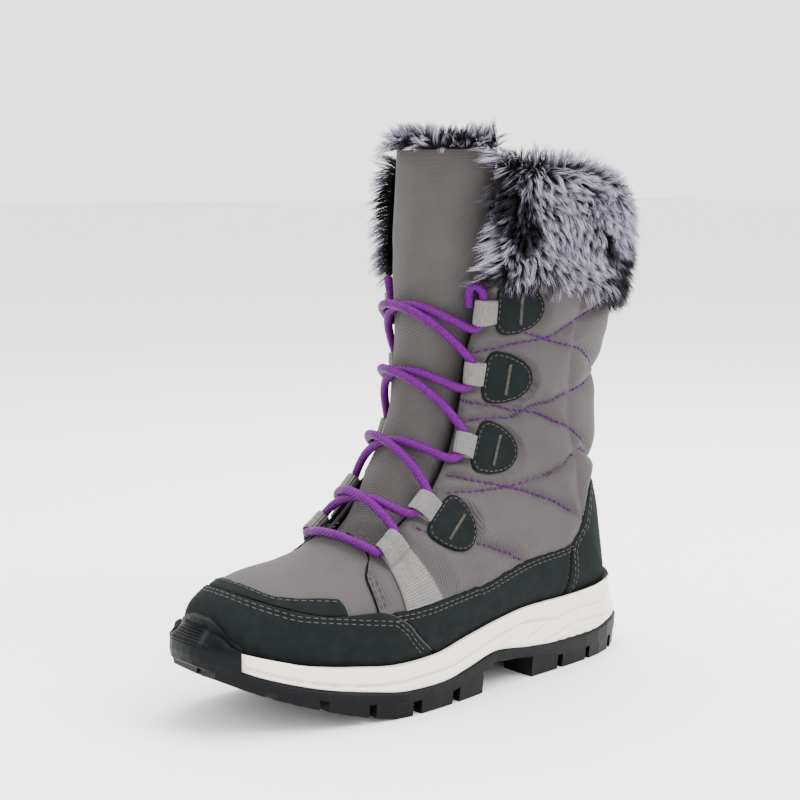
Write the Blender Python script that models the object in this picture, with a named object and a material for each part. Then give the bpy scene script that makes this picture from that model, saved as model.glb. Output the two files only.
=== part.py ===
"""Left snow boot. X runs to the toe, Y to the wearer's left, Z up; the tread stands on Z = 0."""

import math

import bpy
import numpy as np
from mathutils import Vector
from mathutils.bvhtree import BVHTree

# Driving dimensions, in metres
SOLE_LENGTH = 0.283
SOLE_WIDTH = 0.104
HEEL_STACK = 0.040
UPPER_LENGTH = 0.252
UPPER_WIDTH = 0.096
UPPER_HEIGHT = 0.235
UPPER_BACK = -0.1236
SOLE_BACK = -0.1416
WALL = 0.004
GAP = 0.0003
OVERLAY = 0.0015
TAB_LENGTH = 0.028
TAPE_WIDTH = 0.0122
TAPE = 0.001
LACE = 0.0045
TONGUE = 0.007
FUR = 0.010
BUMPER = 0.004

# How finely the form is faceted, and the sole's outline per side
ROWS = 27
TURNS = 30
SIDE_POINTS = 26

# Sole outline seen from above: shares of SOLE_LENGTH from the heel, half widths and swing of SOLE_WIDTH
PLAN = (
    # along, left, right, centre
    (0.00, 0.390, 0.390, 0.000),
    (0.10, 0.405, 0.405, 0.000),
    (0.25, 0.390, 0.385, 0.000),
    (0.40, 0.400, 0.380, 0.000),
    (0.55, 0.465, 0.435, 0.000),
    (0.68, 0.505, 0.490, 0.000),
    (0.80, 0.505, 0.515, -0.012),
    (0.90, 0.470, 0.530, -0.035),
    (1.00, 0.400, 0.420, -0.055),
)

# Heights of the sole along its length and the lean of its top edge inwards, as shares of HEEL_STACK
LEVELS = (
    # along, tread, base, seam, rim, footbed, lean
    (0.00, 0.06, 0.22, 0.480, 1.220, 0.84, 0.20),
    (0.07, 0.00, 0.17, 0.430, 1.160, 0.84, 0.17),
    (0.14, 0.00, 0.16, 0.380, 1.020, 0.83, 0.10),
    (0.24, 0.00, 0.17, 0.385, 0.960, 0.81, 0.06),
    (0.33, 0.00, 0.28, 0.430, 0.970, 0.78, 0.04),
    (0.42, 0.00, 0.35, 0.500, 0.910, 0.73, 0.04),
    (0.50, 0.00, 0.18, 0.410, 0.810, 0.66, 0.04),
    (0.58, 0.00, 0.16, 0.325, 0.690, 0.58, 0.03),
    (0.66, 0.00, 0.17, 0.335, 0.670, 0.55, 0.03),
    (0.74, 0.10, 0.25, 0.415, 0.715, 0.57, 0.03),
    (0.82, 0.26, 0.38, 0.520, 0.785, 0.63, 0.02),
    (0.91, 0.48, 0.57, 0.700, 0.950, 0.76, 0.02),
    (1.00, 0.78, 0.84, 1.000, 1.180, 0.94, 0.02),
)

# Side lugs, the same on both sides, and the bars between them, as shares of SOLE_LENGTH
LUGS = (
    # back, front, reach inwards as a share of SOLE_WIDTH
    (0.005, 0.055, 0.26),
    (0.070, 0.145, 0.24),
    (0.158, 0.230, 0.24),
    (0.245, 0.320, 0.24),
    (0.459, 0.527, 0.22),
    (0.546, 0.625, 0.26),
    (0.645, 0.722, 0.28),
    (0.736, 0.810, 0.28),
    (0.826, 0.893, 0.26),
    (0.908, 0.975, 0.24),
)
BARS = (
    # back, front, half width as a share of SOLE_WIDTH
    (0.105, 0.140, 0.05),
    (0.185, 0.225, 0.09),
    (0.565, 0.610, 0.10),
    (0.660, 0.705, 0.12),
    (0.752, 0.795, 0.13),
)

# The toe bumper's top edge above the seam, over shares of the way from the toe's middle to its end
BUMPER_END = 0.11
BUMPER_TOP = (
    # share, height as a share of HEEL_STACK
    (0.00, 0.20),
    (0.45, 0.22),
    (0.60, 0.21),
    (0.72, 0.17),
    (0.82, 0.10),
    (1.00, 0.06),
)

# Sections of the upper's form, from toe to collar. A section is a closed curve round the line
# from its base point, on the bottom or back, to its top point, on the vamp or the shaft's front.
# Along is a share of UPPER_LENGTH from the heel, height of UPPER_HEIGHT above the footbed,
# width of UPPER_WIDTH. Widest is where along that line the section is widest.
SECTIONS = (
    # base_along, base_height, top_along, top_height, width, centre, widest, low_square, high_square
    (1.000, 0.065, 1.000, 0.065, 0.00, -0.050, 0.50, 2.0, 2.0),
    (0.988, 0.010, 0.983, 0.115, 0.39, -0.060, 0.46, 2.2, 2.2),
    (0.945, -0.012, 0.938, 0.155, 0.60, -0.064, 0.45, 2.4, 2.2),
    (0.875, -0.012, 0.868, 0.195, 0.78, -0.054, 0.42, 2.5, 2.2),
    (0.780, -0.010, 0.780, 0.223, 0.90, -0.026, 0.40, 2.7, 2.1),
    (0.680, -0.010, 0.700, 0.258, 0.97, 0.000, 0.37, 3.0, 2.0),
    (0.570, -0.010, 0.630, 0.322, 0.94, 0.010, 0.33, 3.2, 2.0),
    (0.450, -0.010, 0.568, 0.392, 0.88, 0.008, 0.32, 3.2, 2.0),
    (0.320, -0.010, 0.530, 0.465, 0.82, 0.004, 0.34, 3.0, 2.0),
    (0.200, -0.010, 0.515, 0.530, 0.78, 0.000, 0.36, 2.8, 2.1),
    (0.080, -0.012, 0.512, 0.595, 0.77, 0.000, 0.38, 2.7, 2.2),
    (0.004, 0.006, 0.508, 0.660, 0.78, 0.000, 0.42, 2.6, 2.2),
    (0.020, 0.160, 0.504, 0.725, 0.81, 0.000, 0.46, 2.3, 2.2),
    (0.056, 0.310, 0.500, 0.785, 0.86, 0.000, 0.50, 2.2, 2.2),
    (0.056, 0.480, 0.496, 0.850, 0.91, 0.000, 0.50, 2.2, 2.2),
    (0.010, 0.700, 0.490, 0.925, 0.96, 0.000, 0.50, 2.2, 2.2),
    (-0.026, 1.060, 0.480, 1.040, 1.01, 0.000, 0.50, 2.2, 2.2),
)


# Lines drawn on the form. Stations count the rows of SECTIONS; turns run from 0 at the front to 1 at the back.
THROAT = (
    # station, turn of the eyestay's edge
    (5.20, 0.170),
    (6.15, 0.192),
    (7.15, 0.226),
    (8.50, 0.228),
    (10.60, 0.225),
    (11.50, 0.234),
    (12.45, 0.262),
    (13.45, 0.284),
    (16.00, 0.290),
)
CAP_EDGE = (
    # turn, station of the toe cap's top edge
    (0.000, 1.74),
    (0.100, 1.83),
    (0.193, 2.06),
    (0.278, 2.43),
    (0.332, 2.82),
    (0.368, 3.23),
    (0.388, 3.65),
    (0.400, 4.70),
    (0.450, 5.13),
    (0.547, 5.58),
    (0.748, 6.01),
    (1.000, 6.10),
)
STRIP_EDGE = (
    # turn, station of the toe overlay's edge
    (0.000, 2.24),
    (0.103, 2.33),
    (0.213, 2.57),
    (0.272, 3.10),
    (0.295, 3.68),
    (0.312, 3.92),
    (0.372, 3.99),
    (1.000, 4.05),
)
RAND_TOP = (
    # station, turn
    (3.00, 0.415),
    (5.00, 0.415),
    (5.42, 0.432),
    (6.19, 0.462),
    (7.31, 0.502),
    (8.55, 0.527),
    (10.36, 0.572),
    (16.00, 0.600),
)
COUNTER_FRONT = (
    # station, turn
    (9.20, 1.010),
    (9.32, 0.850),
    (10.07, 0.590),
    (10.40, 0.566),
    (10.80, 0.566),
    (12.10, 0.683),
    (12.60, 0.800),
    (12.85, 1.010),
)
COLLAR = (
    # turn, height of the collar and of the fur's hem, as shares of UPPER_HEIGHT above the heel
    (0.00, 0.960, 0.775),
    (0.30, 0.965, 0.765),
    (0.50, 0.975, 0.755),
    (0.75, 0.940, 0.710),
    (1.00, 0.915, 0.680),
)
TABS = (
    # station, turn, tilt back in degrees, shift of its loop along the throat as a share of TAB_LENGTH
    (13.75, 0.400, 2, -0.07),
    (11.83, 0.355, 8, 0.03),
    (9.69, 0.343, 19, -0.07),
    (7.22, 0.342, 45, -0.05),
)
TAB_SHAPE = (
    # back from its middle, up: shares of TAB_LENGTH
    (-0.43, -0.29),
    (-0.43, 0.29),
    (-0.39, 0.43),
    (-0.27, 0.50),
    (0.00, 0.47),
    (0.29, 0.36),
    (0.47, 0.20),
    (0.54, 0.00),
    (0.47, -0.20),
    (0.29, -0.36),
    (0.00, -0.47),
    (-0.27, -0.50),
    (-0.39, -0.43),
)
STRAP = (
    # turn, front and back stations of the vamp strap
    (0.180, 5.36, 5.84),
    (0.440, 5.31, 6.28),
)


def column(table, index):
    return np.array([row[index] for row in table], float)


def smooth(knots, values, x):
    """A smooth curve through (knots, values), read at x, which never overshoots its points."""
    h = np.diff(knots)
    slope = np.diff(values) / h
    tangent = np.zeros(len(knots))
    same = slope[:-1] * slope[1:] > 0
    weight = np.where(same, slope[:-1] * slope[1:], 0)
    tangent[1:-1][same] = 2 * weight[same] / (slope[:-1] + slope[1:])[same]
    tangent[0], tangent[-1] = slope[0], slope[-1]
    i = np.clip(np.searchsorted(knots, x) - 1, 0, len(h) - 1)
    t = np.clip((x - knots[i]) / h[i], 0, 1)
    a, b = values[i], values[i + 1]
    return (
        a * (1 + 2 * t) * (1 - t) ** 2
        + b * t * t * (3 - 2 * t)
        + h[i] * (tangent[i] * t * (1 - t) ** 2 - tangent[i + 1] * t * t * (1 - t))
    )


def level(name, x):
    """A height of the sole at x, by its column's name."""
    names = ("along", "tread", "base", "seam", "rim", "footbed", "lean")
    along = (np.asarray(x, float) - SOLE_BACK) / SOLE_LENGTH
    return HEEL_STACK * smooth(column(LEVELS, 0), column(LEVELS, names.index(name)), along)


def sections(s):
    """Each column of SECTIONS at station s, which counts its rows, in metres where it is a length."""
    knots = np.arange(len(SECTIONS), dtype=float)
    c = [smooth(knots, column(SECTIONS, k), s) for k in range(9)]
    base_x = UPPER_BACK + c[0] * UPPER_LENGTH
    top_x = UPPER_BACK + c[2] * UPPER_LENGTH
    bed = level("footbed", base_x)
    return {
        "base": np.stack([base_x, bed + c[1] * UPPER_HEIGHT], -1),
        "top": np.stack([top_x, bed + c[3] * UPPER_HEIGHT], -1),
        "width": c[4] * UPPER_WIDTH / 2,
        "centre": c[5] * UPPER_WIDTH,
        "widest": c[6],
        "low": c[7],
        "high": c[8],
    }


def form_point(s, v):
    """Points of the form at stations s and turns v, from -1 to 1: 0 is the top or front line, positive the left side."""
    q = sections(s)
    v = (v + 1) % 2 - 1
    angle = math.pi * np.abs(v)
    cos, sin = np.cos(angle), np.abs(np.sin(angle))
    lower = cos < 0
    power = 2 / np.where(lower, q["low"], q["high"])
    reach = np.abs(cos) ** power
    half = sin**power * np.sign(v) * q["width"]
    share = np.where(lower, q["widest"] * (1 - reach), q["widest"] + (1 - q["widest"]) * reach)
    line = q["base"] + share[..., None] * (q["top"] - q["base"])
    return np.stack([line[..., 0], q["centre"] + half, line[..., 1]], -1)


def stations(count):
    """Stations spaced evenly along the form."""
    s = np.linspace(0, len(SECTIONS) - 1, 800)
    q = sections(s)
    steps = sum(
        np.linalg.norm(np.diff(path, axis=0), axis=1)
        for path in (q["base"], q["top"], (q["base"] + q["top"]) / 2)
    )
    run = np.concatenate([[0], np.cumsum(steps)])
    return np.interp(np.linspace(0, run[-1], count), run, s)


def form_normal(s, v):
    """Outward normals of the form."""
    ds, dv = 0.02, 0.004
    s = np.clip(s, 0.05, len(SECTIONS) - 1 - ds)
    along = form_point(s + ds, v) - form_point(s - ds, v)
    round_ = form_point(s, v + dv) - form_point(s, v - dv)
    n = np.cross(round_, along)
    return n / np.linalg.norm(n, axis=-1, keepdims=True)


def lifted(s, v, lift):
    """Points at a distance from the form, outwards."""
    s, v, lift = np.broadcast_arrays(np.asarray(s, float), v, lift)
    return form_point(s, v) + lift[..., None] * form_normal(s, v)


def skin():
    """The form as triangles. A corner holds its station, turn, place and normal."""
    s = stations(ROWS)
    s[0] = 0.02
    v = np.linspace(-1, 1, TURNS + 1)
    s, v = np.meshgrid(s, v, indexing="ij")
    corners = np.concatenate([s[..., None], v[..., None], form_point(s, v), form_normal(s, v)], -1)
    corners[0, :, 2:5] = form_point(np.zeros(1), np.zeros(1))
    corners[0, :, 5:8] = (1, 0, 0)
    faces = []
    for i in range(ROWS - 1):
        for j in range(TURNS):
            a, b = corners[i, j], corners[i, j + 1]
            c, d = corners[i + 1, j + 1], corners[i + 1, j]
            if i:
                faces.append(np.stack([a, b, c]))
            faces.append(np.stack([a, c, d]))
    return faces


def crossing(a, b, keep):
    """The point between two corners where keep is zero."""
    if tuple(a) > tuple(b):
        a, b = b, a
    low, high = 0.0, 1.0
    sign = keep(a[None])[0] > 0
    for _ in range(14):
        middle = (low + high) / 2
        if (keep((a + (b - a) * middle)[None])[0] > 0) == sign:
            low = middle
        else:
            high = middle
    return a + (b - a) * (low + high) / 2


def clip(faces, keep):
    """The faces, cut back to where keep is above zero."""
    result = []
    for face in faces:
        inside = keep(face) > 0
        if inside.all():
            result.append(face)
        elif inside.any():
            cut = []
            for k in range(len(face)):
                if inside[k - 1] != inside[k]:
                    cut.append(crossing(face[k - 1], face[k], keep))
                if inside[k]:
                    cut.append(face[k])
            result.append(np.array(cut))
    return result


def welded(faces):
    """Corners shared between faces, once each, and the faces as indices into them."""
    seen, corners, index = {}, [], []
    for face in faces:
        ring = []
        for corner in face:
            key = tuple(np.round(corner[2:5] * 1e6) + 0.0)
            if key not in seen:
                seen[key] = len(corners)
                corners.append(corner)
            if seen[key] not in ring:
                ring.append(seen[key])
        if len(ring) > 2:
            index.append(ring)
    return np.array(corners), index


def slab(faces, low, high):
    """(points, faces) of the solid between two distances from the form, over these faces."""
    corners, index = welded(faces)
    place, normal = corners[:, 2:5], corners[:, 5:8]
    low = np.broadcast_to(low, len(corners))[:, None]
    high = np.broadcast_to(high, len(corners))[:, None]
    points = np.concatenate([place + high * normal, place + low * normal])
    count = len(corners)
    edges = {(ring[k - 1], ring[k]) for ring in index for k in range(len(ring))}
    solid = list(index)
    solid += [[k + count for k in ring[::-1]] for ring in index]
    solid += [(b, a, a + count, b + count) for a, b in sorted(edges) if (b, a) not in edges]
    return points, solid


def swept(rings, closed=False):
    """(points, faces) of a solid through a row of matching rings, capped at its ends unless closed."""
    rings = np.asarray(rings)
    rows, turns = rings.shape[:2]
    faces = []
    for i in range(rows if closed else rows - 1):
        a, b = i * turns, (i + 1) % rows * turns
        for j in range(turns):
            k = (j + 1) % turns
            faces.append((a + j, a + k, b + k, b + j))
    if not closed:
        faces.append(tuple(range(turns))[::-1])
        faces.append(tuple((rows - 1) * turns + j for j in range(turns)))
    return rings.reshape(-1, 3), faces


def material(name, colour, roughness):
    found = bpy.data.materials.get(name)
    if found is None:
        found = bpy.data.materials.new(name)
        found.use_nodes = True
        shader = found.node_tree.nodes["Principled BSDF"]
        shader.inputs["Base Color"].default_value = (*colour, 1)
        shader.inputs["Roughness"].default_value = roughness
        found.diffuse_color = (*colour, 1)
    return found


NYLON = ("nylon", (0.23, 0.20, 0.20), 0.6)
NUBUCK = ("nubuck", (0.03, 0.04, 0.042), 0.8)
FOAM = ("foam", (0.80, 0.76, 0.69), 0.5)
RUBBER = ("rubber", (0.02, 0.021, 0.023), 0.6)
PLUSH = ("plush", (0.25, 0.24, 0.28), 0.9)
WEBBING = ("webbing", (0.40, 0.39, 0.37), 0.6)
CORD = ("cord", (0.33, 0.015, 0.46), 0.5)
LINING = ("lining", (0.05, 0.05, 0.055), 0.9)


def add(name, solid, look):
    """An object from (points, faces), turned to face outwards."""
    points, faces = solid
    mesh = bpy.data.meshes.new(name)
    mesh.from_pydata([tuple(p) for p in points], [], [tuple(f) for f in faces])
    mesh.update()
    mesh.materials.append(material(*look))
    mesh.calc_loop_triangles()
    corners = [[mesh.vertices[k].co for k in t.vertices] for t in mesh.loop_triangles]
    if sum(a.dot(b.cross(c)) for a, b, c in corners) < 0:
        mesh.flip_normals()
    obj = bpy.data.objects.new(name, mesh)
    bpy.context.scene.collection.objects.link(obj)
    return obj


def line(table, x, value=1):
    return smooth(column(table, 0), column(table, value), x)


def above_bed(lift):
    """Keeps what stands a distance above the footbed."""
    return lambda c: c[:, 4] - level("footbed", c[:, 2]) - lift


def collar_height(v, value=1):
    return HEEL_STACK * LEVELS[0][5] + UPPER_HEIGHT * line(COLLAR, np.abs(v), value)


def in_throat(c):
    """Above zero inside the throat."""
    s, v = c[:, 0], np.abs(c[:, 1])
    edge = line(THROAT, np.clip(s, 5.2, 16)) - v
    foot = (s - 5.2 - 7 * v * v) / 12
    return np.minimum(edge, foot)


def upper(faces):
    faces = clip(faces, above_bed(0.0011))
    faces = clip(faces, lambda c: collar_height(c[:, 1]) - c[:, 4])
    faces = clip(faces, lambda c: -in_throat(c))
    return slab(faces, -WALL, 0.0)


def toe_cap(faces):
    faces = clip(faces, lambda c: line(CAP_EDGE, np.abs(c[:, 1])) - c[:, 0])
    return slab(clip(faces, above_bed(0.0022)), GAP, GAP + OVERLAY)


def toe_overlay(faces):
    faces = clip(faces, lambda c: line(STRIP_EDGE, np.abs(c[:, 1])) - c[:, 0])
    faces = clip(faces, lambda c: c[:, 0] - line(CAP_EDGE, np.abs(c[:, 1])) - 0.05)
    return slab(faces, GAP, GAP + OVERLAY * 0.7)


def rand(faces, side):
    faces = clip(faces, lambda c: side * c[:, 1] - line(RAND_TOP, np.clip(c[:, 0], 3, 16)))
    faces = clip(faces, lambda c: c[:, 0] - line(CAP_EDGE, np.abs(c[:, 1])) - 0.05)
    faces = clip(faces, above_bed(0.0022))
    faces = clip(faces, lambda c: 12.8 - c[:, 0])
    front = lambda c: line(COUNTER_FRONT, np.clip(c[:, 0], 9.2, 12.85)) - 0.006 - side * c[:, 1]
    faces = clip(faces, front)
    faces = clip(faces, lambda c: 10.45 - c[:, 0])
    return slab(faces, GAP, GAP + OVERLAY)


def heel_counter(faces):
    faces = clip(faces, lambda c: c[:, 0] - 9.2)
    faces = clip(faces, lambda c: 12.85 - c[:, 0])
    faces = clip(faces, lambda c: np.abs(c[:, 1]) - line(COUNTER_FRONT, np.clip(c[:, 0], 9.2, 12.85)))
    return slab(clip(faces, above_bed(0.0022)), GAP, GAP + OVERLAY)


def tongue_lift(s, share):
    """How far the tongue's face stands out of the form, across shares of the throat's half width."""
    swell = np.interp(np.abs(share), (0.2, 0.55, 0.82, 1.04), (0.0015, 0.001, -0.0020, -0.0056))
    rise = np.interp(s, (5.9, 6.9), (0, 1))
    return -0.0056 + rise * (swell + 0.0056)


def tongue_turn(s, share):
    return line(THROAT, np.clip(s, 5.2, 16)) * share


def tongue():
    rings = []
    for s in (4.7, 5.1, 5.5, 5.9, 6.4, 6.9, 7.6, 8.4, 9.3, 10.2, 11.2, 12.2, 13.2, 13.9, 14.6, 15.3, 16.0):
        widest = np.interp(s, (13.2, 14.6), (1.28, 0.97))
        inner = np.interp(s, (13.2, 14.6), (1.04, 0.92))
        shares = np.array((-widest, -inner, -0.82, -0.55, -0.2, 0.2, 0.55, 0.82, inner, widest))
        v = tongue_turn(s, shares)
        face = tongue_lift(s, shares)
        front = lifted(s, v, face)
        back = lifted(s, v, face - TONGUE)
        rings.append(np.concatenate([front, back[::-1]]))
    return swept(rings)


def noise(*seeds):
    """A repeatable number from 0 to 1."""
    return math.sin(sum(k * n for k, n in zip(seeds, (12.9898, 78.233, 37.719)))) * 43758.5453 % 1


def locks(solid, rings, turns, furry, length):
    """The solid with a lock of fur drawn out of each face between the furry turns of its rings."""
    points, faces = list(solid[0]), []
    for number, face in enumerate(solid[1]):
        i, j = divmod(number, turns)
        if i >= rings - 1 or j not in furry:
            faces.append(face)
            continue
        a, b, c, d = (np.asarray(points[k]) for k in face)
        normal = np.cross(c - a, d - b)
        normal /= np.linalg.norm(normal)
        reach = length * (0.6 + 0.8 * noise(i, j, 1))
        fall = length * (0.2 + 0.9 * noise(i, j, 2))
        tip = (a + b + c + d) / 4 + normal * reach - np.array((0, 0, fall * (1 - abs(normal[2]))))
        points.append(tip)
        last = len(points) - 1
        faces += [(face[k - 1], face[k], last) for k in range(4)]
    return np.array(points), faces


def shaft_station(v, z):
    """The station at which the form reaches a height, at a turn of the shaft."""
    s = np.linspace(9, len(SECTIONS) - 1, 120)
    return np.interp(z, form_point(s, np.full(120, v))[:, 2], s)


CUFF_PROFILE = (
    # distance from the form as a share of FUR, from hem (0) to collar (1), rise as a share of FUR
    (0.26, 0.00, 0.00),
    (0.95, 0.00, -0.15),
    (1.35, 0.12, 0.00),
    (1.45, 0.32, 0.00),
    (1.45, 0.55, 0.00),
    (1.35, 0.78, 0.00),
    (1.10, 1.00, 0.10),
    (0.55, 1.00, 0.80),
    (-0.30, 1.00, 0.85),
    (-0.95, 1.00, 0.30),
    (-1.05, 0.80, 0.00),
    (-0.85, 0.60, 0.00),
    (-0.50, 0.60, 0.00),
    (-0.50, 1.00, 0.10),
    (0.08, 1.00, 0.10),
    (0.08, 0.25, 0.00),
    (0.26, 0.18, 0.00),
)


def cuff_point(v, away, share, rise):
    hem, collar = collar_height(v, 2), collar_height(v, 1)
    z = hem + share * (collar - hem)
    point = lifted(shaft_station(v, z), np.float64(v), np.float64(away * FUR))
    return point + np.array((0, 0, rise * FUR))


def fur_cuff():
    turns = np.linspace(0.288, 2 - 0.288, 28)
    turns = np.where(turns > 1, turns - 2, turns)
    rings = [[cuff_point(v, *row) for row in CUFF_PROFILE] for v in turns]
    solid = swept(rings)
    return locks(solid, len(turns), len(CUFF_PROFILE), range(2, 9), 0.0035)


def tongue_fur():
    top = len(SECTIONS) - 1
    rings = []
    for share in (-0.96, -0.9, -0.82, -0.55, -0.2, 0.2, 0.55, 0.82, 0.9, 0.96):
        v = tongue_turn(top, share)
        face = tongue_lift(top, share)
        back = face - TONGUE - 2 * GAP
        profile = (
            # station, distance, rise
            (top - 1.3, back, 0.0),
            (top - 1.3, back - 0.6 * FUR, 0.0),
            (top - 0.5, back - 0.7 * FUR, 0.0),
            (top, back - 0.6 * FUR, 0.4 * FUR),
            (top, back, 1.0 * FUR),
            (top, face - 0.1 * FUR, 1.1 * FUR),
            (top, face + 0.2 * FUR, 0.6 * FUR),
            (top, face + 0.1 * FUR, 0.14 * FUR),
            (top, face, 0.08 * FUR),
            (top, back, 0.08 * FUR),
        )
        rings.append([lifted(s, v, d) + np.array((0, 0, rise)) for s, d, rise in profile])
    return locks(swept(rings), len(rings), 10, range(1, 7), 0.003)


def frame_at(s, v, tilt, side):
    """Place, back direction and up direction of a flat frame on the form."""
    normal = form_normal(np.float64(s), np.float64(v * side))
    lean = math.radians(tilt)
    up = np.array((-math.sin(lean), 0, math.cos(lean)))
    up -= normal * (up @ normal)
    up /= np.linalg.norm(up)
    return form_point(np.float64(s), np.float64(v * side)), side * np.cross(up, normal), up


def on_form(tab, side, back, up):
    """Station and turn of a point at distances back and up from a tab's middle."""
    s, v = float(tab[0]), tab[1] * side
    place, back_way, up_way = frame_at(tab[0], tab[1], tab[2], side)
    ways = np.stack([back_way, up_way])
    for _ in range(5):
        here = form_point(np.float64(s), np.float64(v))
        slope = np.stack(
            [
                ways @ (form_point(np.float64(s + 0.01), np.float64(v)) - here) / 0.01,
                ways @ (form_point(np.float64(s), np.float64(v + 0.002)) - here) / 0.002,
            ],
            axis=1,
        )
        step = np.linalg.solve(slope, np.array((back, up)) - ways @ (here - place))
        s, v = s + step[0], v + step[1]
    return s, v


def lace_tab(tab, side):
    """A patch of the tab's shape, laid on the form."""
    layers = []
    for lift in (0.0005, 0.0005 + OVERLAY):
        for size in (1, 0.55):
            ring = [on_form(tab, side, size * a * TAB_LENGTH, size * b * TAB_LENGTH) for a, b in TAB_SHAPE]
            layers.append([lifted(s, v, lift) for s, v in ring])
        layers.append([lifted(tab[0], tab[1] * side, lift)])
    count = len(TAB_SHAPE)
    points = np.concatenate([np.array(layer) for layer in layers])
    half = 2 * count + 1
    faces = []
    for k in range(count):
        m = (k + 1) % count
        for start, turn in ((0, -1), (half, 1)):
            faces.append((start + k, start + m, start + count + m, start + count + k)[::turn])
            faces.append((start + count + k, start + count + m, start + 2 * count)[::turn])
        faces.append((k, m, half + m, half + k))
    return points, faces


def fold(centre, start, back_height):
    """A tape's middle line: along the form, round the lace and back again, as (distance, height)."""
    low = 0.0006 + TAPE / 2
    radius = LACE / 2 + 0.0004 + TAPE / 2
    path = [(start, low)]
    for angle in (-90, -135, 180, 135, 90, 45):
        a = math.radians(angle)
        path.append((centre + radius * math.cos(a), low + radius + radius * math.sin(a)))
    path.append((start, back_height))
    return path


LACE_BACK = -0.0194
LACE_RISE = 0.0006 + TAPE + 0.0004 + LACE / 2


def tape(path, place):
    """A band of tape along a path of (distance, height); place gives the form's point at a distance and a side."""
    path = np.array(path)
    way = np.gradient(path, axis=0)
    way /= np.linalg.norm(way, axis=1)[:, None]
    rings = []
    for (d, h), (dx, dy) in zip(path, way):
        ring = []
        for edge, thick in ((-1, -1), (1, -1), (1, 1), (-1, 1)):
            distance = d - dy * thick * TAPE / 2
            s, v = place(distance, edge)
            ring.append(lifted(s, v, h + dx * thick * TAPE / 2))
        rings.append(ring)
    return swept(rings)


def lace_loop(tab, side):
    def place(distance, edge):
        return on_form(tab, side, distance, tab[3] * TAB_LENGTH + edge * TAPE_WIDTH / 2)

    start = (TAB_SHAPE[0][0] * TAB_LENGTH) - 0.0004
    return tape(fold(LACE_BACK, start, 0.0025), place)


def vamp_strap(side):
    """A tape from the rand to its fold. Its distances are turns of the form, scaled to metres."""
    scale = 0.138

    def place(distance, edge):
        turn = STRAP[0][0] + distance / scale
        share = np.clip((turn - STRAP[0][0]) / (STRAP[1][0] - STRAP[0][0]), 0, 1)
        front = STRAP[0][1] + share * (STRAP[1][1] - STRAP[0][1])
        back = STRAP[0][2] + share * (STRAP[1][2] - STRAP[0][2])
        return (front + back) / 2 + edge * (back - front) / 2, turn * side

    foot = (STRAP[1][0] - STRAP[0][0]) * scale - 0.0035
    path = fold(0.004, 0.012, 0.0021)
    run = [(d, path[0][1]) for d in (foot, foot * 0.75, foot * 0.5)]
    return tape(run + path, place)


def cord(path):
    """A six-sided cord along points."""
    path = np.asarray(path)
    way = np.gradient(path, axis=0)
    way /= np.linalg.norm(way, axis=1)[:, None]
    side = np.cross(way, (0.35, 0.1, 0.93))
    side /= np.linalg.norm(side, axis=1)[:, None]
    up = np.cross(side, way)
    angle = np.radians(np.arange(6) * 60)
    rings = [
        p + LACE / 2 * (np.outer(np.cos(angle), a) + np.outer(np.sin(angle), b))
        for p, a, b in zip(path, side, up)
    ]
    return swept(rings)


def loop_end(k, side, end, clear=0.0036):
    """Station, turn and rise of the lace where it leaves loop k, upwards or downwards."""
    if k < len(TABS):
        tab = TABS[k]
        up = tab[3] * TAB_LENGTH + end * (TAPE_WIDTH / 2 + clear)
        s, v = on_form(tab, side, LACE_BACK, up)
        return s, v, LACE_RISE
    station = STRAP[0][2] + 0.11 if end > 0 else STRAP[0][1] - 0.10
    return station, side * (STRAP[0][0] + 0.004 / 0.138), LACE_RISE


def lace_run(start, finish, rise, count=7):
    """Points of a lace between two ends, bowed over the tongue."""
    t = np.linspace(0, 1, count)
    ease = t - 0.13 * np.sin(2 * math.pi * t)
    s = start[0] + (finish[0] - start[0]) * t
    v = start[1] + (finish[1] - start[1]) * ease
    bow = np.sin(math.pi * t) ** 0.7
    lift = start[2] + (finish[2] - start[2]) * t + bow * rise
    return lifted(s, v, lift)


def joined(name, solids, look):
    """One object from overlapping solids."""
    parts = [add(f"{name}_part_{k}", solid, look) for k, solid in enumerate(solids)]
    group = bpy.data.collections.new(f"{name}_parts")
    bpy.context.scene.collection.children.link(group)
    group.hide_render = True
    for part in parts[1:]:
        bpy.context.scene.collection.objects.unlink(part)
        group.objects.link(part)
        part.hide_render = True
        part.display_type = "WIRE"
    parts[0].name = name
    union = parts[0].modifiers.new("joined", "BOOLEAN")
    union.operation = "UNION"
    union.solver = "EXACT"
    union.operand_type = "COLLECTION"
    union.collection = group
    return parts[0]


def lace_cross(k):
    under = lace_run(loop_end(k, 1, -1), loop_end(k + 1, -1, 1), 0.0018)
    over = lace_run(loop_end(k, -1, -1), loop_end(k + 1, 1, 1), 0.0040)
    return [cord(under), cord(over)]


def lace_bar():
    left, right = loop_end(len(TABS), 1, -1), loop_end(len(TABS), -1, -1)
    t = np.linspace(-1, 1, 9)
    s = left[0] - 0.25 * (1 - t * t)
    lift = LACE_RISE - 0.0008 * (1 - t * t)
    return cord(lifted(s, -t * left[1], lift))


def lace_end(side):
    s, v, rise = loop_end(0, side, 1, 0.0007)
    path = (
        (s, v, rise),
        (s + 0.16, v - side * 0.002, rise + 0.0002),
        (s + 0.29, v - side * 0.014, rise + 0.0003),
        (s + 0.34, v - side * 0.034, rise + 0.0003),
        (s + 0.27, v - side * 0.053, rise),
        (s + 0.10, v - side * 0.064, rise - 0.0005),
        (s - 0.12, v - side * 0.067, rise - 0.0008),
        (s - 0.30, v - side * 0.068, rise - 0.0010),
    )
    s, v, rise = np.array(path).T
    return cord(lifted(s, v, rise))


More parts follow.
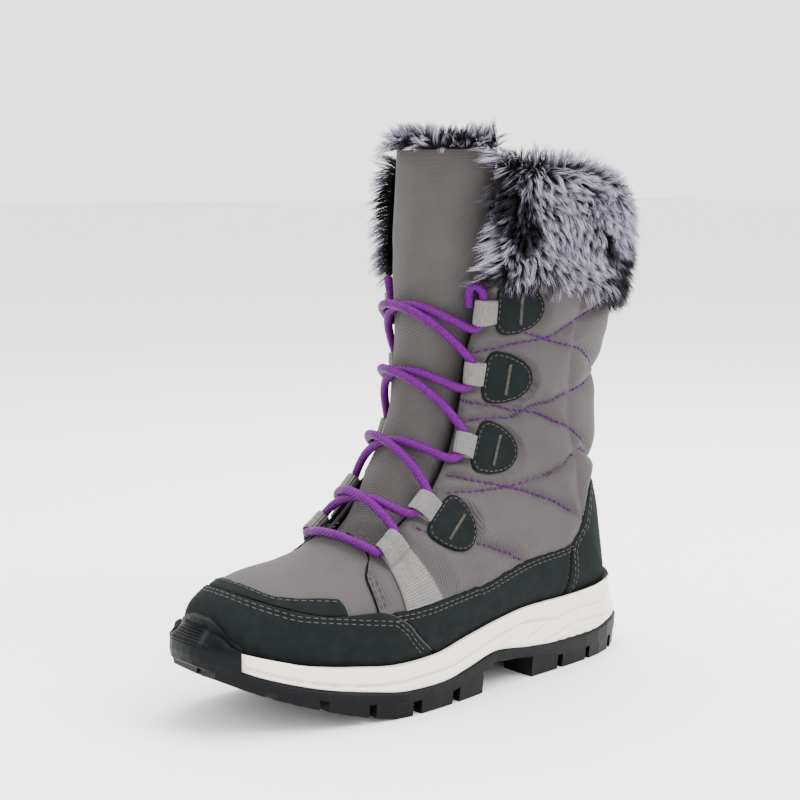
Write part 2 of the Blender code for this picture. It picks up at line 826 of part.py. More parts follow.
def outline(shares, side):
    """Points on one side of the sole, at shares of the way from toe to heel, and their outward normals."""
    angle = np.linspace(0, math.pi, 1201)

    def at(angle):
        along = 0.5 + 0.5 * np.cos(angle)
        half = line(PLAN, along, 1 if side > 0 else 2) * np.abs(np.sin(angle)) ** 0.72
        y = SOLE_WIDTH * (side * half + line(PLAN, along, 3))
        return np.stack([SOLE_BACK + along * SOLE_LENGTH, y], -1)

    path = at(angle)
    run = np.concatenate([[0], np.cumsum(np.linalg.norm(np.diff(path, axis=0), axis=1))])
    points = at(np.interp(np.asarray(shares) * run[-1], run, angle))
    way = np.gradient(path, axis=0)
    normal = side * np.stack([way[:, 1], -way[:, 0]], -1)
    normal = np.stack([np.interp(np.asarray(shares) * run[-1], run, n) for n in normal.T], -1)
    return points, normal / np.linalg.norm(normal, axis=1)[:, None]


def sole_path():
    """The sole's outline from the toe round the left side: places, outward normals, shares of the way to the heel."""
    shares = np.linspace(0, 1, SIDE_POINTS)
    shares -= 0.05 * np.sin(2 * math.pi * shares)
    shares = shares[np.abs(shares - BUMPER_END) > 0.3 / SIDE_POINTS]
    shares = np.sort(np.append(shares, (BUMPER_END - 0.003, BUMPER_END + 0.003)))
    left, left_normal = outline(shares, 1)
    right, right_normal = outline(shares, -1)
    places = np.concatenate([left, right[-2:0:-1]])
    normals = np.concatenate([left_normal, right_normal[-2:0:-1]])
    return places, normals, np.concatenate([shares, shares[-2:0:-1]])


def ring(inset, height):
    """The outline moved inwards, at heights along it."""
    places, normals, _ = sole_path()
    flat = places - normals * np.broadcast_to(inset, len(places))[:, None]
    return np.column_stack([flat, np.broadcast_to(height, len(places))])


def stacked(rings):
    """(points, faces) of a solid through rings of the sole, from the bottom up."""
    count = len(rings[0])
    half = count // 2
    strips = [(0, 1, count - 1), (half - 1, half, half + 1)]
    strips += [(i, i + 1, count - i - 1, count - i) for i in range(1, half - 1)]
    faces = [strip[::-1] for strip in strips]
    faces += [tuple(k + (len(rings) - 1) * count for k in strip) for strip in strips]
    for i in range(len(rings) - 1):
        for j in range(count):
            k = (j + 1) % count
            faces.append((i * count + j, i * count + k, (i + 1) * count + k, (i + 1) * count + j))
    return np.concatenate(rings), faces


def tree_of(faces, lift):
    corners, index = welded(faces)
    points = corners[:, 2:5] + lift * corners[:, 5:8]
    return BVHTree.FromPolygons([Vector(p) for p in points], index)


def first_hit(tree, start, normal, z):
    """Where a level line against the outline's normal meets the form, raised if it passes below."""
    hit = None
    while hit is None:
        hit = tree.ray_cast(Vector((*start, z)), Vector((*-normal, 0)))[0]
        z += 0.0005
    return hit


def spine_ways(places):
    """Level directions to the outline's points from the foot's middle line, which ends inside the heel and the toe."""
    x = SOLE_BACK + SOLE_LENGTH * np.clip((places[:, 0] - SOLE_BACK) / SOLE_LENGTH, 0.25, 0.80)
    y = SOLE_WIDTH * line(PLAN, (x - SOLE_BACK) / SOLE_LENGTH, 3)
    ways = places - np.stack([x, y], -1)
    return ways / np.linalg.norm(ways, axis=1)[:, None]


def wrapped(tree, share, rise, clear):
    """The ring round the form and this clear of it, at a share of the way from footbed to rim."""
    places = sole_path()[0]
    points = []
    for place, way, gap in zip(places, spine_ways(places), np.broadcast_to(clear, len(places))):
        x = place[0] - way[0] * 0.015
        for _ in range(5):
            bed = level("footbed", x)
            z = bed + share * (level("rim", x) - bed) + rise
            hit = first_hit(tree, place + way * 0.02, way, z)
            x = hit.x
        points.append((hit.x + way[0] * gap, hit.y + way[1] * gap, z))
    return np.array(points)


MIDSOLE_SIDE = (
    # share of the way from seam to rim, inset as a share of HEEL_STACK
    (0.00, 0.030),
    (0.20, 0.005),
    (0.46, 0.010),
    (0.52, 0.030),
    (0.58, 0.012),
    (1.00, 0.020),
)


def room(tree, place, normal):
    """How far the midsole's top edge can stand back from the outline and leave itself a wall round the upper."""
    hit = first_hit(tree, place + normal * 0.02, normal, level("rim", place[0]))
    return (place - np.array((hit.x, hit.y))) @ normal - 0.0033


def midsole(tree):
    places, normals, shares = sole_path()
    x = places[:, 0]
    most = [room(tree, *pair) for pair in zip(places, normals)]
    seam, rim = level("seam", x) + GAP, level("rim", x)
    rings = []
    for share, inset in MIDSOLE_SIDE:
        shown = inset * HEEL_STACK + share * np.minimum(level("lean", x), np.array(most) - inset * HEEL_STACK)
        hidden = np.minimum(BUMPER + 2 * GAP, most)
        rings.append(ring(np.where(shares < BUMPER_END, hidden, shown), seam + share * (rim - seam)))
    clear = np.interp(shares, (0.12, 0.20, 0.76, 0.84), (0.0022, 0.0012, 0.0012, 0.0028))
    rings += [wrapped(tree, share, 0, clear) for share in (1, 0.6, 0.25, 0)]
    return stacked(rings)


def insole(tree):
    shares = sole_path()[2]
    foot = wrapped(tree, 0, 0.0034, -np.interp(shares, (0.84, 0.92), (0.0010, 0.0090)))
    return stacked([foot - np.array((0, 0, 0.0028)), foot])


def outsole_base():
    x = sole_path()[0][:, 0]
    seam, base = level("seam", x), level("base", x)
    return stacked(
        [
            ring(0.0020, base),
            ring(0.0004, base + 0.0012),
            ring(0, seam - 0.0012),
            ring(0.0008, seam),
        ]
    )


def lug(side, back, front, reach):
    """A block under the outsole's edge."""
    along = np.linspace(front, back, 3)
    fine = np.linspace(0, 1, 400)
    fine_along = (outline(fine, side)[0][:, 0] - SOLE_BACK) / SOLE_LENGTH
    shares = np.interp(-along, -fine_along, fine)
    rings = []
    for place, normal in zip(*outline(shares, side)):
        top = level("base", place[0]) + 0.0015
        foot = level("tread", place[0])
        inner = [side * max(side * place[1] - share * reach * SOLE_WIDTH, 0.0015) for share in (0.94, 1)]
        rings.append(
            [
                (*(place - normal * 0.0008), top),
                (*(place - normal * 0.0016), foot),
                (place[0], inner[0], foot),
                (place[0], inner[1], top),
            ]
        )
    return swept(rings)


def bar(back, front, half):
    rings = []
    for along in np.linspace(back, front, 3):
        x = SOLE_BACK + along * SOLE_LENGTH
        y = line(PLAN, along, 3) * SOLE_WIDTH
        top, foot, wide = level("base", x) + 0.0015, level("tread", x) + 0.0006, half * SOLE_WIDTH
        rings.append([(x, y - wide, top), (x, y + wide, top), (x, y + wide * 0.9, foot), (x, y - wide * 0.9, foot)])
    return swept(rings)


def bumper(tree):
    """The outsole's wall round the toe, from inside its base up over the toe cap."""
    rings = []
    for share in np.linspace(-0.965, 0.965, 14):
        place, normal = (row[0] for row in outline([abs(share) * BUMPER_END], 1 if share > 0 else -1))
        seam, rim = level("seam", place[0]), level("rim", place[0])
        top = rim + HEEL_STACK * line(BUMPER_TOP, abs(share))
        back = place - normal * (min(BUMPER + 2 * GAP, room(tree, place, normal)) - 3 * GAP)
        outer = [(*(place - normal * 0.0002), seam - 0.003), (*(place + normal * 0.0002), seam - 0.0004)]
        outer.append((*(place - normal * 0.0004), rim - 0.001))
        inner = [(*back, seam - 0.003), (*back, rim + 0.0008)]
        for height in (0.5, 1):
            z = rim + (top - rim) * height
            hit = first_hit(tree, place + normal * 0.02, normal, z)
            near = np.array((hit.x, hit.y)) + normal * 0.0015
            inner.append((*near, z))
            outer.append((*(near + normal * BUMPER * 0.85), z - 0.0008 * height))
        rings.append(outer + inner[::-1])
    return swept(rings)


def outsole(tree):
    solids = [outsole_base(), bumper(tree)]
    for side in (1, -1):
        solids += [lug(side, *row) for row in LUGS]
    solids += [bar(*row) for row in BARS]
    return solids


def main():
    for obj in list(bpy.data.objects):
        bpy.data.objects.remove(obj)
    faces = skin()
    wrap = tree_of(faces, GAP + OVERLAY)
    add("upper", upper(faces), NYLON)
    add("toe_cap", toe_cap(faces), NUBUCK)
    add("toe_overlay", toe_overlay(faces), NUBUCK)
    add("rand_left", rand(faces, 1), NUBUCK)
    add("rand_right", rand(faces, -1), NUBUCK)
    add("heel_counter", heel_counter(faces), NUBUCK)
    add("tongue", tongue(), NYLON)
    add("tongue_fur", tongue_fur(), PLUSH)
    add("fur_cuff", fur_cuff(), PLUSH)
    add("insole", insole(tree_of(faces, -WALL)), LINING)
    add("midsole", midsole(wrap), FOAM)
    joined("outsole", outsole(wrap), RUBBER)
    for side, name in ((1, "left"), (-1, "right")):
        for k, tab in enumerate(TABS):
            add(f"lace_tab_{name}_{k + 1}", lace_tab(tab, side), NUBUCK)
            add(f"lace_loop_{name}_{k + 1}", lace_loop(tab, side), WEBBING)
        add(f"vamp_strap_{name}", vamp_strap(side), WEBBING)
        add(f"lace_end_{name}", lace_end(side), CORD)
    for k in range(len(TABS)):
        joined(f"lace_cross_{k + 1}", lace_cross(k), CORD)
    add("lace_bar", lace_bar(), CORD)


main()
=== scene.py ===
"""Looks of the left snow boot. X runs to the toe, Y to the wearer's left, Z up; the tread stands on Z = 0."""

import math

import bpy
import numpy as np
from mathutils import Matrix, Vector
from mathutils.bvhtree import BVHTree
from mathutils.kdtree import KDTree


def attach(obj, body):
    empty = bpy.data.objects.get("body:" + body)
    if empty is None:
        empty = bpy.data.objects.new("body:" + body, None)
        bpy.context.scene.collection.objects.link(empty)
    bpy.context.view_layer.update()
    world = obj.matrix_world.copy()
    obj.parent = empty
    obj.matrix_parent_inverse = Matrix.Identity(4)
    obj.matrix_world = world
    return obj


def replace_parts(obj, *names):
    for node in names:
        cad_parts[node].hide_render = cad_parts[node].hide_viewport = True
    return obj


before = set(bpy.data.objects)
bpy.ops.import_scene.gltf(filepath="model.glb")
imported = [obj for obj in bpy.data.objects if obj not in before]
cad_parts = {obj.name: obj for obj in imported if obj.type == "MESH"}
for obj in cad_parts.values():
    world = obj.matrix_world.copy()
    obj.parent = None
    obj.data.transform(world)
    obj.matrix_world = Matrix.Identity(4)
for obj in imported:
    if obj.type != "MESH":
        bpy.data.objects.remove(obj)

# Driving dimensions, in metres
SOLE_LENGTH = 0.283
SOLE_WIDTH = 0.104
HEEL_STACK = 0.040
UPPER_LENGTH = 0.252
UPPER_WIDTH = 0.096
UPPER_HEIGHT = 0.235
UPPER_BACK = -0.1236
SOLE_BACK = -0.1416
WALL = 0.004
GAP = 0.0003
OVERLAY = 0.0015
TAB_LENGTH = 0.028
TAPE_WIDTH = 0.0122
TAPE = 0.001
LACE = 0.0045
TONGUE = 0.007
FUR = 0.010
BUMPER = 0.004

# Sole outline seen from above: shares of SOLE_LENGTH from the heel, half widths and swing of SOLE_WIDTH
PLAN = (
    # along, left, right, centre
    (0.00, 0.390, 0.390, 0.000),
    (0.10, 0.405, 0.405, 0.000),
    (0.25, 0.390, 0.385, 0.000),
    (0.40, 0.400, 0.380, 0.000),
    (0.55, 0.465, 0.435, 0.000),
    (0.68, 0.505, 0.490, 0.000),
    (0.80, 0.505, 0.515, -0.012),
    (0.90, 0.470, 0.530, -0.035),
    (1.00, 0.400, 0.420, -0.055),
)

# Heights of the sole along its length and the lean of its top edge inwards, as shares of HEEL_STACK
LEVEL_COLUMNS = ("along", "seam", "rim", "footbed", "lean")
LEVELS = (
    # along, seam, rim, footbed, lean
    (0.00, 0.480, 1.220, 0.84, 0.20),
    (0.07, 0.430, 1.160, 0.84, 0.17),
    (0.14, 0.380, 1.020, 0.83, 0.10),
    (0.24, 0.385, 0.960, 0.81, 0.06),
    (0.33, 0.430, 0.970, 0.78, 0.04),
    (0.42, 0.500, 0.910, 0.73, 0.04),
    (0.50, 0.410, 0.810, 0.66, 0.04),
    (0.58, 0.325, 0.690, 0.58, 0.03),
    (0.66, 0.335, 0.670, 0.55, 0.03),
    (0.74, 0.415, 0.715, 0.57, 0.03),
    (0.82, 0.520, 0.785, 0.63, 0.02),
    (0.91, 0.700, 0.950, 0.76, 0.02),
    (1.00, 1.000, 1.180, 0.94, 0.02),
)

# The toe bumper's top edge above the seam, over shares of the way from the toe's middle to its end
BUMPER_END = 0.11
BUMPER_TOP = (
    # share, height as a share of HEEL_STACK
    (0.00, 0.20),
    (0.45, 0.22),
    (0.60, 0.21),
    (0.72, 0.17),
    (0.82, 0.10),
    (1.00, 0.06),
)

# Sections of the upper's form, from toe to collar. A section is a closed curve round the line
# from its base point, on the bottom or back, to its top point, on the vamp or the shaft's front.
# Along is a share of UPPER_LENGTH from the heel, height of UPPER_HEIGHT above the footbed,
# width of UPPER_WIDTH. Widest is where along that line the section is widest.
SECTIONS = (
    # base_along, base_height, top_along, top_height, width, centre, widest, low_square, high_square
    (1.000, 0.065, 1.000, 0.065, 0.00, -0.050, 0.50, 2.0, 2.0),
    (0.988, 0.010, 0.983, 0.115, 0.39, -0.060, 0.46, 2.2, 2.2),
    (0.945, -0.012, 0.938, 0.155, 0.60, -0.064, 0.45, 2.4, 2.2),
    (0.875, -0.012, 0.868, 0.195, 0.78, -0.054, 0.42, 2.5, 2.2),
    (0.780, -0.010, 0.780, 0.223, 0.90, -0.026, 0.40, 2.7, 2.1),
    (0.680, -0.010, 0.700, 0.258, 0.97, 0.000, 0.37, 3.0, 2.0),
    (0.570, -0.010, 0.630, 0.322, 0.94, 0.010, 0.33, 3.2, 2.0),
    (0.450, -0.010, 0.568, 0.392, 0.88, 0.008, 0.32, 3.2, 2.0),
    (0.320, -0.010, 0.530, 0.465, 0.82, 0.004, 0.34, 3.0, 2.0),
    (0.200, -0.010, 0.515, 0.530, 0.78, 0.000, 0.36, 2.8, 2.1),
    (0.080, -0.012, 0.512, 0.595, 0.77, 0.000, 0.38, 2.7, 2.2),
    (0.004, 0.006, 0.508, 0.660, 0.78, 0.000, 0.42, 2.6, 2.2),
    (0.020, 0.160, 0.504, 0.725, 0.81, 0.000, 0.46, 2.3, 2.2),
    (0.056, 0.310, 0.500, 0.785, 0.86, 0.000, 0.50, 2.2, 2.2),
    (0.056, 0.480, 0.496, 0.850, 0.91, 0.000, 0.50, 2.2, 2.2),
    (0.010, 0.700, 0.490, 0.925, 0.96, 0.000, 0.50, 2.2, 2.2),
    (-0.026, 1.060, 0.480, 1.040, 1.01, 0.000, 0.50, 2.2, 2.2),
)
TOP = len(SECTIONS) - 1

# Lines drawn on the form. Stations count the rows of SECTIONS.
# Turns run from 0 at the front to 1 at the back.
THROAT = (
    # station, turn of the eyestay's edge
    (5.20, 0.170),
    (6.15, 0.192),
    (7.15, 0.226),
    (8.50, 0.228),
    (10.60, 0.225),
    (11.50, 0.234),
    (12.45, 0.262),
    (13.45, 0.284),
    (16.00, 0.290),
)
CAP_EDGE = (
    # turn, station of the toe cap's top edge
    (0.000, 1.74),
    (0.100, 1.83),
    (0.193, 2.06),
    (0.278, 2.43),
    (0.332, 2.82),
    (0.368, 3.23),
    (0.388, 3.65),
    (0.400, 4.70),
    (0.450, 5.13),
    (0.547, 5.58),
    (0.748, 6.01),
    (1.000, 6.10),
)
STRIP_EDGE = (
    # turn, station of the toe overlay's edge
    (0.000, 2.24),
    (0.103, 2.33),
    (0.213, 2.57),
    (0.272, 3.10),
    (0.295, 3.68),
    (0.312, 3.92),
    (0.372, 3.99),
    (1.000, 4.05),
)
RAND_TOP = (
    # station, turn
    (3.00, 0.415),
    (5.00, 0.415),
    (5.42, 0.432),
    (6.19, 0.462),
    (7.31, 0.502),
    (8.55, 0.527),
    (10.36, 0.572),
    (16.00, 0.600),
)
COUNTER_FRONT = (
    # station, turn
    (9.20, 1.010),
    (9.32, 0.850),
    (10.07, 0.590),
    (10.40, 0.566),
    (10.80, 0.566),
    (12.10, 0.683),
    (12.60, 0.800),
    (12.85, 1.010),
)
COLLAR = (
    # turn, height of the collar and of the fur's hem, as shares of UPPER_HEIGHT above the heel
    (0.00, 0.960, 0.775),
    (0.30, 0.965, 0.765),
    (0.50, 0.975, 0.755),
    (0.75, 0.940, 0.710),
    (1.00, 0.915, 0.680),
)
TABS = (
    # station, turn, tilt back in degrees, shift of its loop along the throat as a share of TAB_LENGTH
    (13.75, 0.400, 2, -0.07),
    (11.83, 0.355, 8, 0.03),
    (9.69, 0.343, 19, -0.07),
    (7.22, 0.342, 45, -0.05),
)
TAB_SHAPE = (
    # back from its middle, up: shares of TAB_LENGTH
    (-0.43, -0.29),
    (-0.43, 0.29),
    (-0.39, 0.43),
    (-0.27, 0.50),
    (0.00, 0.47),
    (0.29, 0.36),
    (0.47, 0.20),
    (0.54, 0.00),
    (0.47, -0.20),
    (0.29, -0.36),
    (0.00, -0.47),
    (-0.27, -0.50),
    (-0.39, -0.43),
)
STRAP = (
    # turn, front and back stations of the vamp strap
    (0.180, 5.36, 5.84),
    (0.440, 5.31, 6.28),
)


def column(table, index):
    return np.array([row[index] for row in table], float)


def smooth(knots, values, x):
    """A smooth curve through (knots, values), read at x, which never overshoots its points."""
    h = np.diff(knots)
    slope = np.diff(values) / h
    tangent = np.zeros(len(knots))
    same = slope[:-1] * slope[1:] > 0
    weight = np.where(same, slope[:-1] * slope[1:], 0)
    tangent[1:-1][same] = 2 * weight[same] / (slope[:-1] + slope[1:])[same]
    tangent[0], tangent[-1] = slope[0], slope[-1]
    i = np.clip(np.searchsorted(knots, x) - 1, 0, len(h) - 1)
    t = np.clip((x - knots[i]) / h[i], 0, 1)
    a, b = values[i], values[i + 1]
    return (
        a * (1 + 2 * t) * (1 - t) ** 2
        + b * t * t * (3 - 2 * t)
        + h[i] * (tangent[i] * t * (1 - t) ** 2 - tangent[i + 1] * t * t * (1 - t))
    )


def level(name, x):
    """A height of the sole at x, by its column's name."""
    along = (np.asarray(x, float) - SOLE_BACK) / SOLE_LENGTH
    return HEEL_STACK * smooth(column(LEVELS, 0), column(LEVELS, LEVEL_COLUMNS.index(name)), along)


def sections(s):
    """Each column of SECTIONS at station s, which counts its rows, in metres where it is a length."""
    knots = np.arange(len(SECTIONS), dtype=float)
    c = [smooth(knots, column(SECTIONS, k), s) for k in range(9)]
    base_x = UPPER_BACK + c[0] * UPPER_LENGTH
    top_x = UPPER_BACK + c[2] * UPPER_LENGTH
    bed = level("footbed", base_x)
    return {
        "base": np.stack([base_x, bed + c[1] * UPPER_HEIGHT], -1),
        "top": np.stack([top_x, bed + c[3] * UPPER_HEIGHT], -1),
        "width": c[4] * UPPER_WIDTH / 2,
        "centre": c[5] * UPPER_WIDTH,
        "widest": c[6],
        "low": c[7],
        "high": c[8],
    }


def form_point(s, v):
    """Points of the form at stations s and turns v, from -1 to 1.

    Turn 0 is the top or front line, and positive turns are on the left side."""
    q = sections(s)
    v = (v + 1) % 2 - 1
    angle = math.pi * np.abs(v)
    cos, sin = np.cos(angle), np.abs(np.sin(angle))
    lower = cos < 0
    power = 2 / np.where(lower, q["low"], q["high"])
    reach = np.abs(cos) ** power
    half = sin**power * np.sign(v) * q["width"]
    share = np.where(lower, q["widest"] * (1 - reach), q["widest"] + (1 - q["widest"]) * reach)
    line = q["base"] + share[..., None] * (q["top"] - q["base"])
    return np.stack([line[..., 0], q["centre"] + half, line[..., 1]], -1)


def form_normal(s, v):
    """Outward normals of the form."""
    ds, dv = 0.02, 0.004
    s = np.clip(s, 0.05, TOP - ds)
    along = form_point(s + ds, v) - form_point(s - ds, v)
    round_ = form_point(s, v + dv) - form_point(s, v - dv)
    n = np.cross(round_, along)
    return n / np.linalg.norm(n, axis=-1, keepdims=True)


def lifted(s, v, lift):
    """Points at a distance from the form, outwards."""
    s, v, lift = np.broadcast_arrays(np.asarray(s, float), v, lift)
    return form_point(s, v) + lift[..., None] * form_normal(s, v)


def line(table, x, value=1):
    return smooth(column(table, 0), column(table, value), x)


def collar_height(v, value=1):
    return level("footbed", SOLE_BACK) + UPPER_HEIGHT * line(COLLAR, np.abs(v), value)


def tongue_lift(s, share):
    """How far the tongue's face stands out of the form, across shares of the throat's half width."""
    swell = np.interp(np.abs(share), (0.2, 0.55, 0.82, 1.04), (0.0015, 0.001, -0.0020, -0.0056))
    rise = np.interp(s, (5.9, 6.9), (0, 1))
    return -0.0056 + rise * (swell + 0.0056)


def throat_turn(s):
    """The turn of the throat's edge."""
    return line(THROAT, np.clip(s, THROAT[0][0], TOP))


def rand_top(s):
    """The turn of the rand's top edge."""
    return line(RAND_TOP, np.clip(s, RAND_TOP[0][0], TOP))


def counter_front(s):
    """The turn of the heel counter's front edge."""
    return line(COUNTER_FRONT, np.clip(s, COUNTER_FRONT[0][0], COUNTER_FRONT[-1][0]))


def cap_edge(v):
    """The station of the toe cap's top edge."""
    return line(CAP_EDGE, np.abs(v))


def turn_of(v):
    """Turns from 0 at the front to 1 at the back, whatever the side."""
    return np.abs((v + 1) % 2 - 1)


def strap_at(turn):
    """The vamp strap's share of its length, front station and back station at a turn."""
    (low, *start), (high, *end) = STRAP
    share = np.clip((turn - low) / (high - low), 0, 1)
    return share, start[0] + share * (end[0] - start[0]), start[1] + share * (end[1] - start[1])


def shaft_station(v, z):
    """The station at which the form reaches a height, at a turn of the shaft."""
    s = np.linspace(9, TOP, 120)
    return np.interp(z, form_point(s, np.full(120, v))[:, 2], s)


def frame_at(s, v, tilt, side):
    """Place, back direction and up direction of a flat frame on the form."""
    normal = form_normal(np.float64(s), np.float64(v * side))
    lean = math.radians(tilt)
    up = np.array((-math.sin(lean), 0, math.cos(lean)))
    up -= normal * (up @ normal)
    up /= np.linalg.norm(up)
    return form_point(np.float64(s), np.float64(v * side)), side * np.cross(up, normal), up


def outline(shares, side):
    """Points on one side of the sole, at shares of the way from toe to heel, and their outward normals."""
    angle = np.linspace(0, math.pi, 1201)

    def at(angle):
        along = 0.5 + 0.5 * np.cos(angle)
        half = line(PLAN, along, 1 if side > 0 else 2) * np.abs(np.sin(angle)) ** 0.72
        y = SOLE_WIDTH * (side * half + line(PLAN, along, 3))
        return np.stack([SOLE_BACK + along * SOLE_LENGTH, y], -1)

    path = at(angle)
    run = np.concatenate([[0], np.cumsum(np.linalg.norm(np.diff(path, axis=0), axis=1))])
    points = at(np.interp(np.asarray(shares) * run[-1], run, angle))
    way = np.gradient(path, axis=0)
    normal = side * np.stack([way[:, 1], -way[:, 0]], -1)
    normal = np.stack([np.interp(np.asarray(shares) * run[-1], run, n) for n in normal.T], -1)
    return points, normal / np.linalg.norm(normal, axis=1)[:, None]


def first_hit(tree, start, normal, z):
    """Where a level line against the outline's normal meets the form, raised if it passes below."""
    hit = None
    while hit is None:
        hit = tree.ray_cast(Vector((*start, z)), Vector((*-normal, 0)))[0]
        z += 0.0005
    return hit


def spine_ways(places):
    """Level directions to the outline's points from the foot's middle line, which ends inside the sole."""
    x = SOLE_BACK + SOLE_LENGTH * np.clip((places[:, 0] - SOLE_BACK) / SOLE_LENGTH, 0.25, 0.80)
    y = SOLE_WIDTH * line(PLAN, (x - SOLE_BACK) / SOLE_LENGTH, 3)
    ways = places - np.stack([x, y], -1)
    return ways / np.linalg.norm(ways, axis=1)[:, None]


def wrapped(tree, share, rise, clear):
    """The ring round the form and this clear of it, at a share of the way from footbed to rim."""
    places = sole_path()[0]
    points = []
    for place, way, gap in zip(places, spine_ways(places), np.broadcast_to(clear, len(places))):
        x = place[0] - way[0] * INSIDE
        for _ in range(5):
            bed = level("footbed", x)
            z = bed + share * (level("rim", x) - bed) + rise
            hit = first_hit(tree, place + way * FAR, way, z)
            x = hit.x
        points.append((hit.x + way[0] * gap, hit.y + way[1] * gap, z))
    return np.array(points)


def room(tree, place, normal):
    """How far the midsole's top edge can stand back and still leave a wall round the upper."""
    hit = first_hit(tree, place + normal * FAR, normal, level("rim", place[0]))
    return (place - np.array((hit.x, hit.y))) @ normal - MIDSOLE_WALL


# Looks only, in metres: first the meshes' cells, and how high above the footbed a piece starts
CELL = 0.0011
QUILT_CELL = 0.0014
LINING_CELL = 0.0028
TREE_CELL = 0.003
PANEL_FOOT = 0.0022
# Panels: their rims' radius, the toe overlay's thickness, and the station where the rands end
PANEL_RADIUS = 0.0011
STRIP_THICKNESS = OVERLAY * 0.6
RAND_BACK = 10.5
# The quilted fabric
PUFF = 0.0042
PUFF_REACH = 0.013
VALLEY = 0.0010
VALLEY_WIDTH = 0.0022
PUCKER = 0.00022
PUCKER_PITCH = 0.0052
CREASE = 0.0006
QUARTER_STEP = 0.0006
FREE_EDGE = 0.03
RIPSTOP = 0.0013
TURN_LENGTH = 0.15
TUFT = 0.0006
# The stitches of the panels, the tabs and the quilting: length, gap and half thickness
STITCH = (0.0027, 0.0011, 0.00028)
TAB_STITCH = (0.0021, 0.0009, 0.00028)
QUILT_STITCH = (0.0031, 0.0010, 0.00056)
EDGE_STITCH_RISE = 0.0012
# The zigzag down a tab
ZIGZAGS = 27
ZIGZAG_WIDTH = 0.0016
ZIGZAG_THREAD = 0.00034
# Webbing and lace, and what they stand off. LACE_BACK is how far the lace is from a tab's middle.
TAB_GAP = 0.0005
LOOP_GAP = 0.0006
LACE_GAP = 0.0004
LACE_RISE = LOOP_GAP + TAPE + LACE_GAP + LACE / 2
LACE_BACK = -0.0194
LACE_OVER = 0.0044
LACE_UNDER = 0.0001
LACE_BRAID = 0.0085
LACE_SIDES = 14
RIB = 0.0014
RIB_HEIGHT = 0.00026
TAPE_POINTS = 13
STRAP_SCALE = 0.138
STRAP_FOLD = 0.004
# Tongue and fur: rings and points of the tongue, rows and columns of the pelts, hairs and their tufts
TONGUE_MESH = (170, 88)
CUFF_GRID = (60, 40)
TONGUE_GRID = (50, 30)
CUFF_HAIRS = 32000
TONGUE_HAIRS = 13000
HAIRS_A_TUFT = 14
PILE = 0.0100
HAIR_STEPS = (0, 0.36, 0.72, 1.0)
HAIR_HALF_WIDTHS = (0.00013, 0.00012, 0.00008)
SWIRL_SIZE = 0.018
COLLAR_DROOP = 0.006
COLLAR_RISE = 0.006
# The sole: the midsole's least wall, half the outline's run, and where rays start outside and inside it
MIDSOLE_WALL = 0.0033
HALF_RUN = 0.335
FAR = 0.02
INSIDE = 0.015

# Quilting lines of one side, each from front to back, as (station, turn)
QUILTING = (
    ((12.54, 0.272), (13.03, 0.355), (13.36, 0.42), (13.64, 0.485), (13.9, 0.55), (14.15, 0.66), (14.2, 0.8),
     (14.15, 1)),
    ((11.58, 0.252), (12.19, 0.317), (13.02, 0.407), (13.64, 0.485), (14.12, 0.545), (14.53, 0.617),
     (14.9, 0.74)),
    ((9.16, 0.235), (10.44, 0.318), (11.59, 0.403), (12.51, 0.5), (13.26, 0.59), (13.83, 0.703),
     (14.15, 0.8)),
    ((9.9, 0.23), (10.47, 0.288), (11.09, 0.342), (11.59, 0.403), (12.11, 0.487), (12.61, 0.585),
     (12.88, 0.72), (12.9, 1)),
    ((7.36, 0.265), (8.18, 0.337), (9.33, 0.405), (10.46, 0.448), (11.27, 0.487), (11.84, 0.543),
     (12.54, 0.648), (12.88, 0.76)),
    ((7.69, 0.245), (8.39, 0.325), (9.33, 0.405), (9.97, 0.453), (10.55, 0.498), (10.95, 0.54)),
    ((6.34, 0.24), (6.62, 0.303), (7.26, 0.385), (7.72, 0.435), (8.18, 0.483), (8.65, 0.524)),
)
# The quarter's front edge on the vamp, as (station, turn)
QUARTER_EDGE = (
    (5.28, 0.03),
    (5.22, 0.12),
    (5.12, 0.18),
    (4.90, 0.215),
    (4.74, 0.25),
    (4.68, 0.31),
    (4.66, 0.40),
)


def lengths(points):
    """Distance run at each point of a line."""
    return np.concatenate([[0], np.cumsum(np.linalg.norm(np.diff(points, axis=0), axis=1))])


def unit(vectors):
    return vectors / np.maximum(np.linalg.norm(vectors, axis=-1, keepdims=True), 1e-12)


def line_on(rows, side=1, step=0.0005):
    """Stations and turns along a line drawn on the form, at even steps."""
    rows = np.array(rows, float)
    knots = np.arange(len(rows), dtype=float)
    fine = np.linspace(0, knots[-1], 40 * len(rows))
    s = smooth(knots, rows[:, 0], fine)
    v = smooth(knots, rows[:, 1], fine) * side
    return even(s, v, step)


def even(s, v, step=0.0005):
    run = lengths(form_point(s, v))
    at = np.linspace(0, run[-1], int(run[-1] / step) + 2)
    return np.interp(at, run, s), np.interp(at, run, v)


def moved(s, v, shift):
    """Stations and turns of the form's points nearest to places a shift away."""
    target = form_point(s, v) + shift
    s, v = np.array(s, float), np.array(v, float)
    for _ in range(5):
        here = form_point(s, v)
        along = (form_point(s + 0.01, v) - here) / 0.01
        across = (form_point(s, v + 0.002) - here) / 0.002
        miss = target - here
        aa, bb, ab = (along**2).sum(-1), (across**2).sum(-1), (along * across).sum(-1)
        am, bm = (along * miss).sum(-1), (across * miss).sum(-1)
        whole = np.maximum(aa * bb - ab * ab, 1e-16)
        s = np.clip(s + (am * bb - bm * ab) / whole, 0.02, TOP)
        v = v + (bm * aa - am * ab) / whole
    return s, v


def beside(path, distance):
    """A line on the form moved sideways, to the right of its way seen from outside."""
    s, v = path
    way = unit(np.gradient(form_point(s, v), axis=0))
    return even(*moved(s, v, np.cross(way, form_normal(s, v)) * distance))


